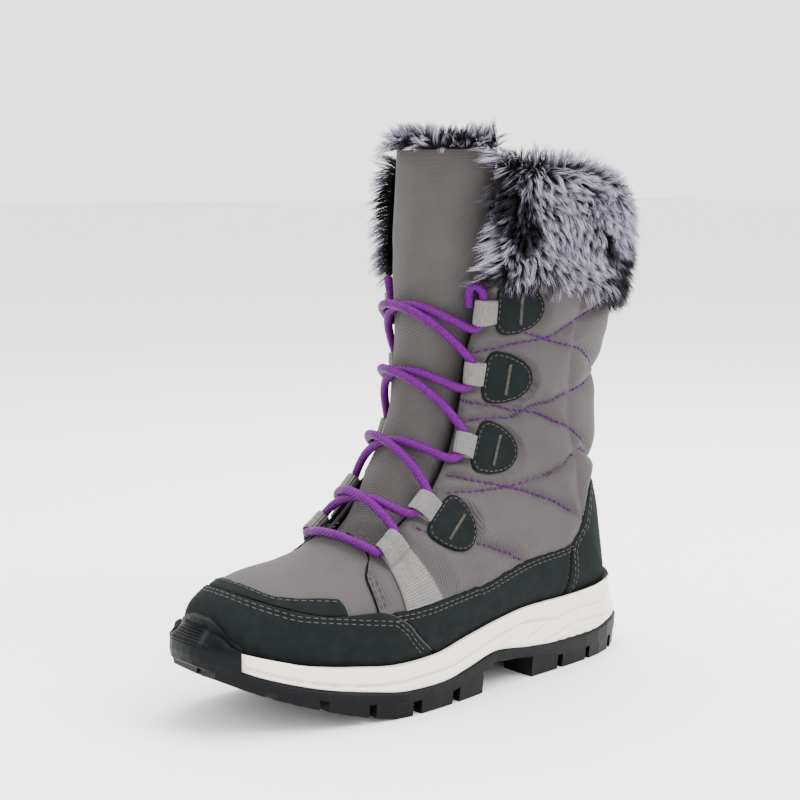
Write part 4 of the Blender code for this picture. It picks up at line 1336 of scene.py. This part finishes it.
def grid_normal(grid, a, b, outward):
    return unit(np.cross(grid_way(grid, a, b), grid_way(grid, a, b, True))) * outward


def tufts(grid, count, outward, dice, seed, droop, scale, spread):
    """Tufts of hair on a grid: their centres, leans and lengths."""
    a, b = even_roots(grid, count, dice)
    centre, up = grid_at(grid, a, b), grid_normal(grid, a, b, outward)
    swirl = np.stack([cloud(centre, SWIRL_SIZE, seed + k) - 0.5 for k in range(3)], -1)
    outwards = unit(grid_way(grid, a, b)) * spread(a)[:, None]
    chance = (dice.random((count, 3)) - 0.5) * 0.9
    hang = np.array((0, 0, droop)) * (1 - np.abs(up[:, 2:]))
    lean = unit(up + outwards * 1.9 + swirl * 1.3 + chance - hang)
    length = PILE * (0.75 + 0.5 * dice.random(count)) * scale(a, b) * (1 + 0.4 * np.abs(spread(a)))
    return centre, lean, length


def fur(grid, count, outward, seed, droop, scale, spread):
    """(points, faces, shades) of ribbons of hair on a grid."""
    dice = np.random.default_rng(seed)
    a, b = even_roots(grid, count, dice)
    root, normal = grid_at(grid, a, b), grid_normal(grid, a, b, outward)
    centre, lean, length = tufts(grid, count // HAIRS_A_TUFT, outward, dice, seed, droop, scale, spread)
    number = nearest(root, centre)[0][:, 0]
    chance = (dice.random((count, 3)) - 0.5) * 0.35
    outwards = unit(grid_way(grid, a, b)) * spread(a)[:, None] * 0.5
    own = unit(lean[number] + normal * 0.35 + outwards + chance)
    reach = length[number] * (0.70 + 0.45 * dice.random(count))
    tip = root + own * reach[:, None]
    shared = centre[number] + lean[number] * (length[number] * 0.98)[:, None]
    tip += (shared - tip) * (0.35 + 0.3 * dice.random(count))[:, None]
    tip[:, 2] -= reach * 0.12
    bend = root + normal * (reach * 0.5)[:, None]
    steps = np.array(HAIR_STEPS)
    t = steps[None, :, None]
    middle = root[:, None] * (1 - t) ** 2 + bend[:, None] * 2 * t * (1 - t) + tip[:, None] * t * t
    side = unit(np.cross(own, dice.random((count, 3)) - 0.5))
    wide = np.array(HAIR_HALF_WIDTHS) * (0.7 + 0.7 * dice.random(count))[:, None]
    off = side[:, None] * wide[..., None]
    pairs = np.stack([middle[:, :3] - off, middle[:, :3] + off], 2).reshape(count, 6, 3)
    points = np.concatenate([pairs, middle[:, 3:]], 1)
    start = (np.arange(count) * 7)[:, None]
    quads = np.concatenate([start + np.array((0, 1, 3, 2)), start + np.array((2, 3, 5, 4))])
    patch = cloud(root, 0.015, seed + 9) * 0.65 + cloud(root, 0.006, seed + 5) * 0.45
    dark = np.clip((patch - 0.58) / 0.18, 0, 1)
    uneven = (dice.random(count)[:, None] - 0.5) * 0.22
    shade = steps.repeat((2, 2, 2, 1))[None] - dark[:, None] * 0.55 + uneven
    return points.reshape(-1, 3), [quads, start + np.array((4, 5, 6))], shade.ravel()


def add_fur(name, grid, count, outward, seed, looks, droop, scale, spread):
    """Hair as its own padded piece, with each point's shade from root to tip."""
    points, faces, shades = fur(grid, count, outward, seed, droop, scale, spread)
    obj = add(name, points, faces, looks["plush"], "plush", sharp=0)
    layer = obj.data.attributes.new("shade", "FLOAT", "POINT")
    layer.data.foreach_set("value", shades.astype(np.float32))


def pelt(grid, outward):
    rows, columns = grid.shape[:2]
    faces = sheet_faces(rows, columns, False)
    return grid.reshape(-1, 3), [faces if outward > 0 else faces[:, ::-1]]


# The sole

SOLE_SIDE_POINTS = 170
SIDE_ROWS = 34
GROOVES = (
    # depth, half width, then rows of (share of the way from toe to heel, share of the way from seam to rim)
    (0.0022, 0.0008, ((0.06, 0.30), (0.11, 0.29), (0.16, 0.28), (0.22, 0.25), (0.286, 0.25), (0.355, 0.35),
                      (0.395, 0.41), (0.438, 0.42), (0.484, 0.37), (0.535, 0.37), (0.587, 0.46),
                      (0.622, 0.56), (0.66, 0.61), (0.705, 0.58), (0.75, 0.50))),
    (0.0016, 0.0008, ((0.655, 0.19), (0.685, 0.36), (0.72, 0.51), (0.764, 0.59), (0.805, 0.61),
                      (0.854, 0.54), (0.91, 0.45), (1.0, 0.40))),
    (0.0016, 0.0008, ((0.701, 0.06), (0.738, 0.18), (0.778, 0.28), (0.821, 0.29), (0.867, 0.20),
                      (0.91, 0.08))),
    (0.0010, 0.0006, ((0.738, 0.0), (0.784, 0.19))),
    (0.0010, 0.0006, ((0.762, 0.0), (0.804, 0.18))),
    (0.0010, 0.0006, ((0.785, 0.0), (0.822, 0.20))),
    (0.0010, 0.0006, ((0.810, 0.0), (0.842, 0.19))),
    (0.0010, 0.0006, ((0.835, 0.0), (0.860, 0.15))),
)
LONG_GROOVE = GROOVES[0]
FOAM_SIDE = (
    # share of the way from seam to rim, inset as a share of HEEL_STACK
    (0.00, 0.034),
    (0.06, 0.014),
    (0.20, 0.006),
    (0.46, 0.008),
    (0.80, 0.014),
    (0.94, 0.022),
    (1.00, 0.046),
)


def sole_path(count=SOLE_SIDE_POINTS):
    """The sole's outline from the toe round the left side.

    It gives places, outward normals and shares of the way to the heel."""
    shares = np.linspace(0, 1, count)
    shares = shares[np.abs(shares - BUMPER_END) > 0.3 / count]
    shares = np.sort(np.append(shares, (BUMPER_END - 0.002, BUMPER_END + 0.002)))
    left, left_normal = outline(shares, 1)
    right, right_normal = outline(shares, -1)
    places = np.concatenate([left, right[-2:0:-1]])
    normals = np.concatenate([left_normal, right_normal[-2:0:-1]])
    return places, normals, np.concatenate([shares, shares[-2:0:-1]])


def form_tree(lift):
    """The form, raised by a lift, for rays to meet."""
    corners, faces = weld(skin(TREE_CELL, 0.02, TOP))
    points = lifted(corners[:, 0], corners[:, 1], np.full(len(corners), lift))
    return BVHTree.FromPolygons(points.tolist(), faces.tolist())


def stacked(rings):
    """(points, faces) of a solid through rings of the sole, from the bottom up."""
    count = len(rings[0])
    half = count // 2
    strips = [(i, i + 1, count - i - 1, count - i) for i in range(1, half - 1)]
    ends = [(0, 1, count - 1), (half - 1, half, half + 1)]
    blocks = [sheet_faces(len(rings), count)]
    for caps in (strips, ends):
        caps = np.array(caps)
        blocks += [caps[:, ::-1], caps + (len(rings) - 1) * count]
    return np.concatenate(rings), blocks


def groove_depth(shares, heights, scale):
    """How deep the foam's side is cut at shares of the way to the heel and heights between seam and rim."""
    depth = np.zeros(heights.shape)
    for groove in GROOVES:
        deep, wide, rows = groove
        rows = np.array(rows)
        knots = np.arange(len(rows), dtype=float)
        fine = np.linspace(0, knots[-1], 12 * len(rows))
        draw = smooth if len(rows) > 2 else lambda knots, values, x: np.interp(x, knots, values)
        u, h = (draw(knots, values, fine) for values in rows.T)
        along, up = (shares[..., None] - u) * HALF_RUN, (heights[..., None] - h) * scale[..., None]
        away = np.hypot(along, up).min(-1)
        fade = np.clip((shares - rows[0, 0]) / 0.02, 0, 1) if groove is LONG_GROOVE else 1
        depth = np.maximum(depth, deep * np.exp(-((away / wide) ** 2)) * fade)
    return depth


def midsole(tree):
    places, normals, shares = sole_path()
    x = places[:, 0]
    most = np.array([room(tree, *pair) for pair in zip(places, normals)])
    seam, rim = level("seam", x) + GAP, level("rim", x)
    lean = level("lean", x)
    rings = []
    for share in np.linspace(0, 1, SIDE_ROWS):
        inset = line(FOAM_SIDE, share) * HEEL_STACK
        cut = groove_depth(shares, np.full(len(x), share), rim - seam)
        shown = inset + share * np.minimum(lean, most - inset)
        hidden = np.minimum(BUMPER + 2 * GAP, most)
        back = np.where(shares < BUMPER_END, hidden, shown + cut)
        flat = places - normals * back[:, None]
        rings.append(np.column_stack([flat, seam + share * (rim - seam)]))
    clear = np.interp(shares, (0.12, 0.20, 0.76, 0.84), (0.0022, 0.0012, 0.0012, 0.0028))
    rings += [wrapped(tree, share, 0, clear) for share in (1, 0.6, 0.25, 0)]
    return stacked(rings)


def insole(tree):
    shares = sole_path()[2]
    foot = wrapped(tree, 0, 0.0034, -np.interp(shares, (0.84, 0.92), (0.0010, 0.0090)))
    return stacked([foot - np.array((0, 0, 0.0028)), foot])


def bumper_point(tree, shares, heights):
    """Points on the bumper's outside, at shares of its half and heights from its foot to its top."""
    points = []
    for share, height in zip(shares, heights):
        place, normal = (row[0] for row in outline([abs(share) * BUMPER_END], 1 if share > 0 else -1))
        seam, rim = level("seam", place[0]), level("rim", place[0])
        top = rim + HEEL_STACK * line(BUMPER_TOP, abs(share))
        outer = [(*(place + normal * 0.0002), seam - 0.0004), (*(place - normal * 0.0004), rim - 0.001)]
        for part in (0.5, 1):
            z = rim + (top - rim) * part
            hit = first_hit(tree, place + normal * FAR, normal, z)
            near = np.array((hit.x, hit.y)) + normal * (0.0015 + BUMPER * 0.85)
            outer.append((*near, z - 0.0008 * part))
        points.append([np.interp(height * 3, np.arange(4), c) for c in np.array(outer).T])
    return np.array(points)


def bumper_ribs(tree):
    """Slanted ribs on both ends of the bumper, and level ribs round its middle."""
    t = np.linspace(0, 1, 7)
    starts = [side * start for side in (1, -1) for start in np.arange(0.40, 0.93, 0.03)]
    rows = [(start + np.sign(start) * 0.10 * t, 0.22 + 0.62 * t) for start in starts]
    rows += [(np.linspace(-0.36, 0.36, 25), np.full(25, height)) for height in np.arange(0.22, 0.90, 0.07)]
    solids = []
    for shares, heights in rows:
        path = bumper_point(tree, np.clip(shares, -0.955, 0.955), heights)[None]
        run = np.linspace(0, 1, path.shape[1])
        ease = np.minimum(1, 6 * np.minimum(run, run[::-1]))
        solids.append(tubes(path, np.array((0.0, 0.0, 1.0)) + 0 * path, 0.00008 + 0.00030 * ease, 6))
    return merged(solids)


# Materials

# The wave texture's scale for ridges one metre apart
WAVE_SCALE = 0.314159
PLUSH_STOPS = (
    # place between root and tip, colour
    (0.10, (0.003, 0.003, 0.004)),
    (0.34, (0.018, 0.017, 0.022)),
    (0.58, (0.17, 0.155, 0.20)),
    (0.80, (0.36, 0.335, 0.41)),
    (1.0, (0.50, 0.47, 0.56)),
)


def put(tree, kind, inputs=None, **settings):
    """A shader node with its inputs set or linked."""
    node = tree.nodes.new(kind)
    for name, value in settings.items():
        setattr(node, name, value)
    for name, value in (inputs or {}).items():
        if isinstance(value, bpy.types.NodeSocket):
            tree.links.new(value, node.inputs[name])
        else:
            node.inputs[name].default_value = value
    return node


def between(tree, factor, low, high):
    """A colour between two, by a factor."""
    ramp = put(tree, "ShaderNodeValToRGB", {"Fac": factor})
    ramp.color_ramp.elements[0].color = (*low, 1)
    ramp.color_ramp.elements[1].color = (*high, 1)
    ramp.color_ramp.elements[0].position = 0.3
    ramp.color_ramp.elements[1].position = 0.7
    return ramp.outputs["Color"]


def wave_bump(tree, vector, pitch, height, axis, normal, distortion, detail):
    """Fine ridges across an axis: their height, and the normal with them added."""
    inputs = {"Vector": vector, "Scale": WAVE_SCALE / pitch, "Distortion": distortion, "Detail": detail}
    wave = put(tree, "ShaderNodeTexWave", inputs, wave_type="BANDS", bands_direction=axis).outputs["Fac"]
    bump = put(tree, "ShaderNodeBump", {"Height": wave, "Distance": height, "Normal": normal})
    return wave, bump.outputs["Normal"]


def maths(tree, operation, first, second):
    return put(tree, "ShaderNodeMath", {0: first, 1: second}, operation=operation).outputs[0]


def plain(name):
    """A new material, its node tree and its shader."""
    found = bpy.data.materials.new(name)
    found.use_nodes = True
    return found, found.node_tree, found.node_tree.nodes["Principled BSDF"]


def surface(
    name, low, high, roughness, grain, height, patch=0.02, gloss=0.12, ribs=0.0, rib_height=0.0, slant=None
):
    """A material mottled between two colours, with a grain and, if asked, woven ribs or slanted ridges.

    grain and patch are sizes in metres; height is the grain's; slant is a pitch, a rotation and a height."""
    found, tree, shader = plain(name)
    place = put(tree, "ShaderNodeTexCoord").outputs["Object"]
    mottle = put(tree, "ShaderNodeTexNoise", {"Vector": place, "Scale": 1 / patch, "Detail": 4.0})
    fine = put(tree, "ShaderNodeTexNoise", {"Vector": place, "Scale": 1 / grain, "Detail": 3.0})
    factor = mottle.outputs["Fac"]
    bump = put(tree, "ShaderNodeBump", {"Height": fine.outputs["Fac"], "Distance": height})
    normal = bump.outputs["Normal"]
    if ribs:
        uv = put(tree, "ShaderNodeUVMap", uv_map="weave").outputs["UV"]
        wave, normal = wave_bump(tree, uv, ribs, rib_height, "Y", normal, 0.6, 1.0)
        factor = maths(tree, "ADD", maths(tree, "MULTIPLY", wave, 0.5), maths(tree, "MULTIPLY", factor, 0.5))
    if slant:
        pitch, rotation, rise = slant
        turned = put(tree, "ShaderNodeMapping", {"Vector": place, "Rotation": rotation}).outputs["Vector"]
        _, normal = wave_bump(tree, turned, pitch, rise, "X", normal, 0.2, 2.0)
    tree.links.new(between(tree, factor, low, high), shader.inputs["Base Color"])
    tree.links.new(normal, shader.inputs["Normal"])
    shader.inputs["Roughness"].default_value = roughness
    shader.inputs["Specular IOR Level"].default_value = gloss
    return found


def plush():
    """Hair that is black at the root and pale at the tip."""
    found, tree, shader = plain("plush")
    shade = put(tree, "ShaderNodeAttribute", attribute_name="shade").outputs["Fac"]
    ramp = put(tree, "ShaderNodeValToRGB", {"Fac": shade})
    (first, colour), *middle, (last, pale) = PLUSH_STOPS
    stops = ramp.color_ramp.elements
    stops[0].position, stops[0].color = first, (*colour, 1)
    stops[1].position, stops[1].color = last, (*pale, 1)
    for position, colour in middle:
        stops.new(position).color = (*colour, 1)
    tree.links.new(ramp.outputs["Color"], shader.inputs["Base Color"])
    shader.inputs["Roughness"].default_value = 0.7
    shader.inputs["Specular IOR Level"].default_value = 0.12
    return found


def materials():
    """Each look by its name, from its two colours, roughness, grain and grain's height."""
    weave_ribs = {"ribs": RIPSTOP, "rib_height": 0.00012}
    rubber = ((0.0020, 0.0023, 0.0027), (0.0036, 0.0041, 0.0047), 0.5, 0.0005, 0.00003)
    table = {
        "nylon": (((0.041, 0.036, 0.037), (0.067, 0.059, 0.060), 0.6, 0.0006, 0.00006), weave_ribs),
        "tongue_nylon": (((0.042, 0.037, 0.037), (0.066, 0.058, 0.058), 0.6, 0.0006, 0.00006), weave_ribs),
        "nubuck": (
            ((0.0050, 0.0066, 0.0069), (0.0076, 0.0098, 0.0102), 0.8, 0.0004, 0.00005, 0.006),
            {"gloss": 0.06},
        ),
        "foam": (((0.74, 0.67, 0.58), (0.80, 0.73, 0.64), 0.5, 0.0009, 0.00002), {"gloss": 0.3}),
        "rubber": (rubber, {"gloss": 0.10, "slant": (0.0010, (0.5, 0.6, 0.8), 0.00009)}),
        "bumper_rubber": (rubber, {"gloss": 0.10}),
        "webbing": (
            ((0.085, 0.083, 0.078), (0.125, 0.122, 0.115), 0.4, 0.0004, 0.00006, 0.0016),
            {"gloss": 0.3},
        ),
        "cord": (
            ((0.050, 0.0, 0.072), (0.092, 0.0002, 0.128), 0.5, 0.0004, 0.00008, 0.0010),
            {"slant": (0.0012, (0.5, 0.5, 0.7), 0.00025)},
        ),
        "cream_thread": (((0.042, 0.038, 0.032), (0.066, 0.060, 0.051), 0.65, 0.0003, 0.00004, 0.002), {}),
        "purple_thread": (((0.046, 0.0, 0.066), (0.070, 0.0004, 0.100), 0.6, 0.0003, 0.00004, 0.002), {}),
        "dark_edge": (
            ((0.0015, 0.0020, 0.0024), (0.003, 0.004, 0.0045), 0.8, 0.0005, 0.00005),
            {"gloss": 0.05},
        ),
        "pelt": (((0.003, 0.003, 0.0035), (0.010, 0.0095, 0.011), 0.95, 0.0009, 0.0006), {}),
        "fleece": (((0.006, 0.006, 0.007), (0.015, 0.015, 0.017), 0.95, 0.0012, 0.0008), {}),
    }
    looks = {name: surface(name, *values, **settings) for name, (values, settings) in table.items()}
    return {**looks, "plush": plush()}


# The boot in its looks

def build(looks):
    """Every finer piece, each in place of its CAD node."""
    tree = form_tree(GAP + OVERLAY)
    points, faces, corners = upper()
    shell = add("upper_fabric", points, faces, looks["nylon"], "nylon", corners, 60)
    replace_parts(shell, "upper")
    points, faces, _ = lining()
    add("upper_lining", points, faces, looks["fleece"], "lining", sharp=60)
    panels = {
        "toe_cap": toe_cap(),
        "toe_overlay": toe_overlay(),
        "rand_left": rand(1),
        "rand_right": rand(-1),
        "heel_counter": heel_counter(),
    }
    for name, solid in panels.items():
        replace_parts(add(f"{name}_leather", *solid[:2], looks["nubuck"], "nubuck"), name)
    points, faces, corners = tongue()
    pad = add("tongue_pad", points, faces, looks["tongue_nylon"], "nylon", corners)
    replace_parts(pad, "tongue")
    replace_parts(add("midsole_foam", *midsole(tree), looks["foam"], "foam"), "midsole")
    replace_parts(add("insole_fleece", *insole(form_tree(-WALL)), looks["fleece"], "lining"), "insole")
    add("bumper_ribs", *bumper_ribs(tree), looks["bumper_rubber"], "rubber")
    for side, name in ((1, "left"), (-1, "right")):
        for k, tab in enumerate(TABS):
            number = f"{name}_{k + 1}"
            patch = add(f"tab_{number}", *lace_tab(tab, side), looks["nubuck"], "nubuck")
            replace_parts(patch, f"lace_tab_{number}")
            thread = tab_stitches(tab, side)
            add(f"tab_stitches_{number}", *thread, looks["cream_thread"], "nubuck", sharp=0)
            loop = add(f"loop_{number}", *lace_loop(tab, side), looks["webbing"], "webbing", sharp=0)
            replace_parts(loop, f"lace_loop_{number}")
        strap = add(f"strap_{name}", *vamp_strap(side), looks["webbing"], "webbing", sharp=0)
        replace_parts(strap, f"vamp_strap_{name}")
    run = add("lace", *lace(), looks["cord"], "cord", sharp=0)
    crosses = [f"lace_cross_{k + 1}" for k in range(len(TABS))]
    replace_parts(run, "lace_bar", "lace_end_left", "lace_end_right", *crosses)
    add("panel_stitches", *panel_stitches(), looks["cream_thread"], "nubuck", sharp=0)
    add("edge_stitches", *edge_stitches(), looks["cream_thread"], "nylon", sharp=0)
    add("quilt_stitches", *quilt_stitches(), looks["purple_thread"], "nylon", sharp=0)
    add("edge_piping", *piping(), looks["dark_edge"], "nubuck", sharp=0)
    add_cuff(looks)
    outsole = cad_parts["outsole"]
    outsole.data.materials.clear()
    outsole.data.materials.append(looks["rubber"])


def cuff_loft(low, high):
    """Longer hair on the collar's front, shorter on its back."""

    def scale(a, b):
        turn = 1 - np.abs(low + a * (high - low) - 1)
        crest = np.exp(-(((b - 0.62) / 0.13) ** 2))
        tall = np.interp(turn, (0.29, 0.45, 0.58, 0.72, 1.0), (1.5, 1.5, 1.2, 0.75, 0.5))
        return 1 + (tall - 1) * crest

    return scale


def add_cuff(looks):
    """The fur of the collar's two halves, combed out at its front edges, and of the tongue's top."""
    sides = (
        # name, first turn, last turn, seed, how far hair is combed out along the edge
        ("left", 0.288, 1.0, 11, lambda a: -np.exp(-((a / 0.07) ** 2))),
        ("right", 1.0, 1.712, 12, lambda a: np.exp(-(((1 - a) / 0.07) ** 2))),
    )
    for name, low, high, seed, spread in sides:
        grid = cuff_pelt(low, high)
        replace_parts(add(f"cuff_pelt_{name}", *pelt(grid, 1), looks["pelt"], "plush", sharp=0), "fur_cuff")
        scale = cuff_loft(low, high)
        add_fur(f"cuff_fur_{name}", grid, CUFF_HAIRS, 1, seed, looks, 0.55, scale, spread)
    grid = tongue_pelt()
    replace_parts(add("tongue_pelt", *pelt(grid, -1), looks["pelt"], "plush", sharp=0), "tongue_fur")
    add_fur("tongue_pile", grid, TONGUE_HAIRS, -1, 13, looks, 0.0, lambda a, b: 1.15 + 0 * a, lambda a: 0 * a)


# Camera, floor and light

AZIMUTH, ELEVATION = 140.5, 8.8
TARGET = (0.0014, 0, 0.13)
DISTANCE = 0.9
LENS, SENSOR = 77.76, 36
SHIFT = (-0.015, 0.0475)
FLOOR = 12
WORLD = 2.6
LIGHTS = (
    # name, to the camera's right, towards it, up, size, power
    ("key", 1.0, 0.5, 1.2, 0.7, 22),
    ("fill", -1.2, 0.8, 0.9, 1.0, 4),
    ("top", 0.25, -0.25, 1.5, 1.3, 60),
)


def camera_back():
    a, e = math.radians(AZIMUTH), math.radians(ELEVATION)
    return Vector((math.sin(a) * math.cos(e), -math.cos(a) * math.cos(e), math.sin(e)))


def camera():
    data = bpy.data.cameras.new("camera")
    data.sensor_width, data.lens = SENSOR, LENS
    data.shift_x, data.shift_y = SHIFT
    data.clip_start = 0.01
    eye = bpy.data.objects.new("camera", data)
    eye.location = Vector(TARGET) + camera_back() * DISTANCE
    eye.rotation_euler = (-camera_back()).to_track_quat("-Z", "Y").to_euler()
    bpy.context.scene.collection.objects.link(eye)
    bpy.context.scene.camera = eye


def floor():
    mesh = bpy.data.meshes.new("floor")
    corners = [(x * FLOOR, y * FLOOR, 0) for x, y in ((-1, -1), (1, -1), (1, 1), (-1, 1))]
    mesh.from_pydata(corners, [], [(0, 1, 2, 3)])
    mesh.materials.append(surface("floor", (0.84, 0.84, 0.84), (0.85, 0.85, 0.85), 0.9, 0.01, 0.0))
    ground = bpy.data.objects.new("floor", mesh)
    bpy.context.scene.collection.objects.link(ground)


def lamp(name, right, toward, up, size, energy):
    """A square soft light, placed to the camera's right, towards it and up, facing the boot."""
    data = bpy.data.lights.new(name, "AREA")
    data.shape, data.size, data.energy = "SQUARE", size, energy
    back = camera_back()
    side = Vector((0, 0, 1)).cross(back).normalized()
    level_back = Vector((back.x, back.y, 0)).normalized()
    lit = bpy.data.objects.new(name, data)
    lit.location = Vector(TARGET) + side * right + level_back * toward + Vector((0, 0, up))
    lit.rotation_euler = (Vector(TARGET) - lit.location).to_track_quat("-Z", "Y").to_euler()
    bpy.context.scene.collection.objects.link(lit)


def light():
    world = bpy.data.worlds.new("world")
    world.use_nodes = True
    sky = world.node_tree.nodes["Background"]
    sky.inputs["Color"].default_value = (1, 1, 1, 1)
    sky.inputs["Strength"].default_value = WORLD
    bpy.context.scene.world = world
    for row in LIGHTS:
        lamp(*row)


def main():
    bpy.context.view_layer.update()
    camera()
    light()
    floor()
    build(materials())


main()
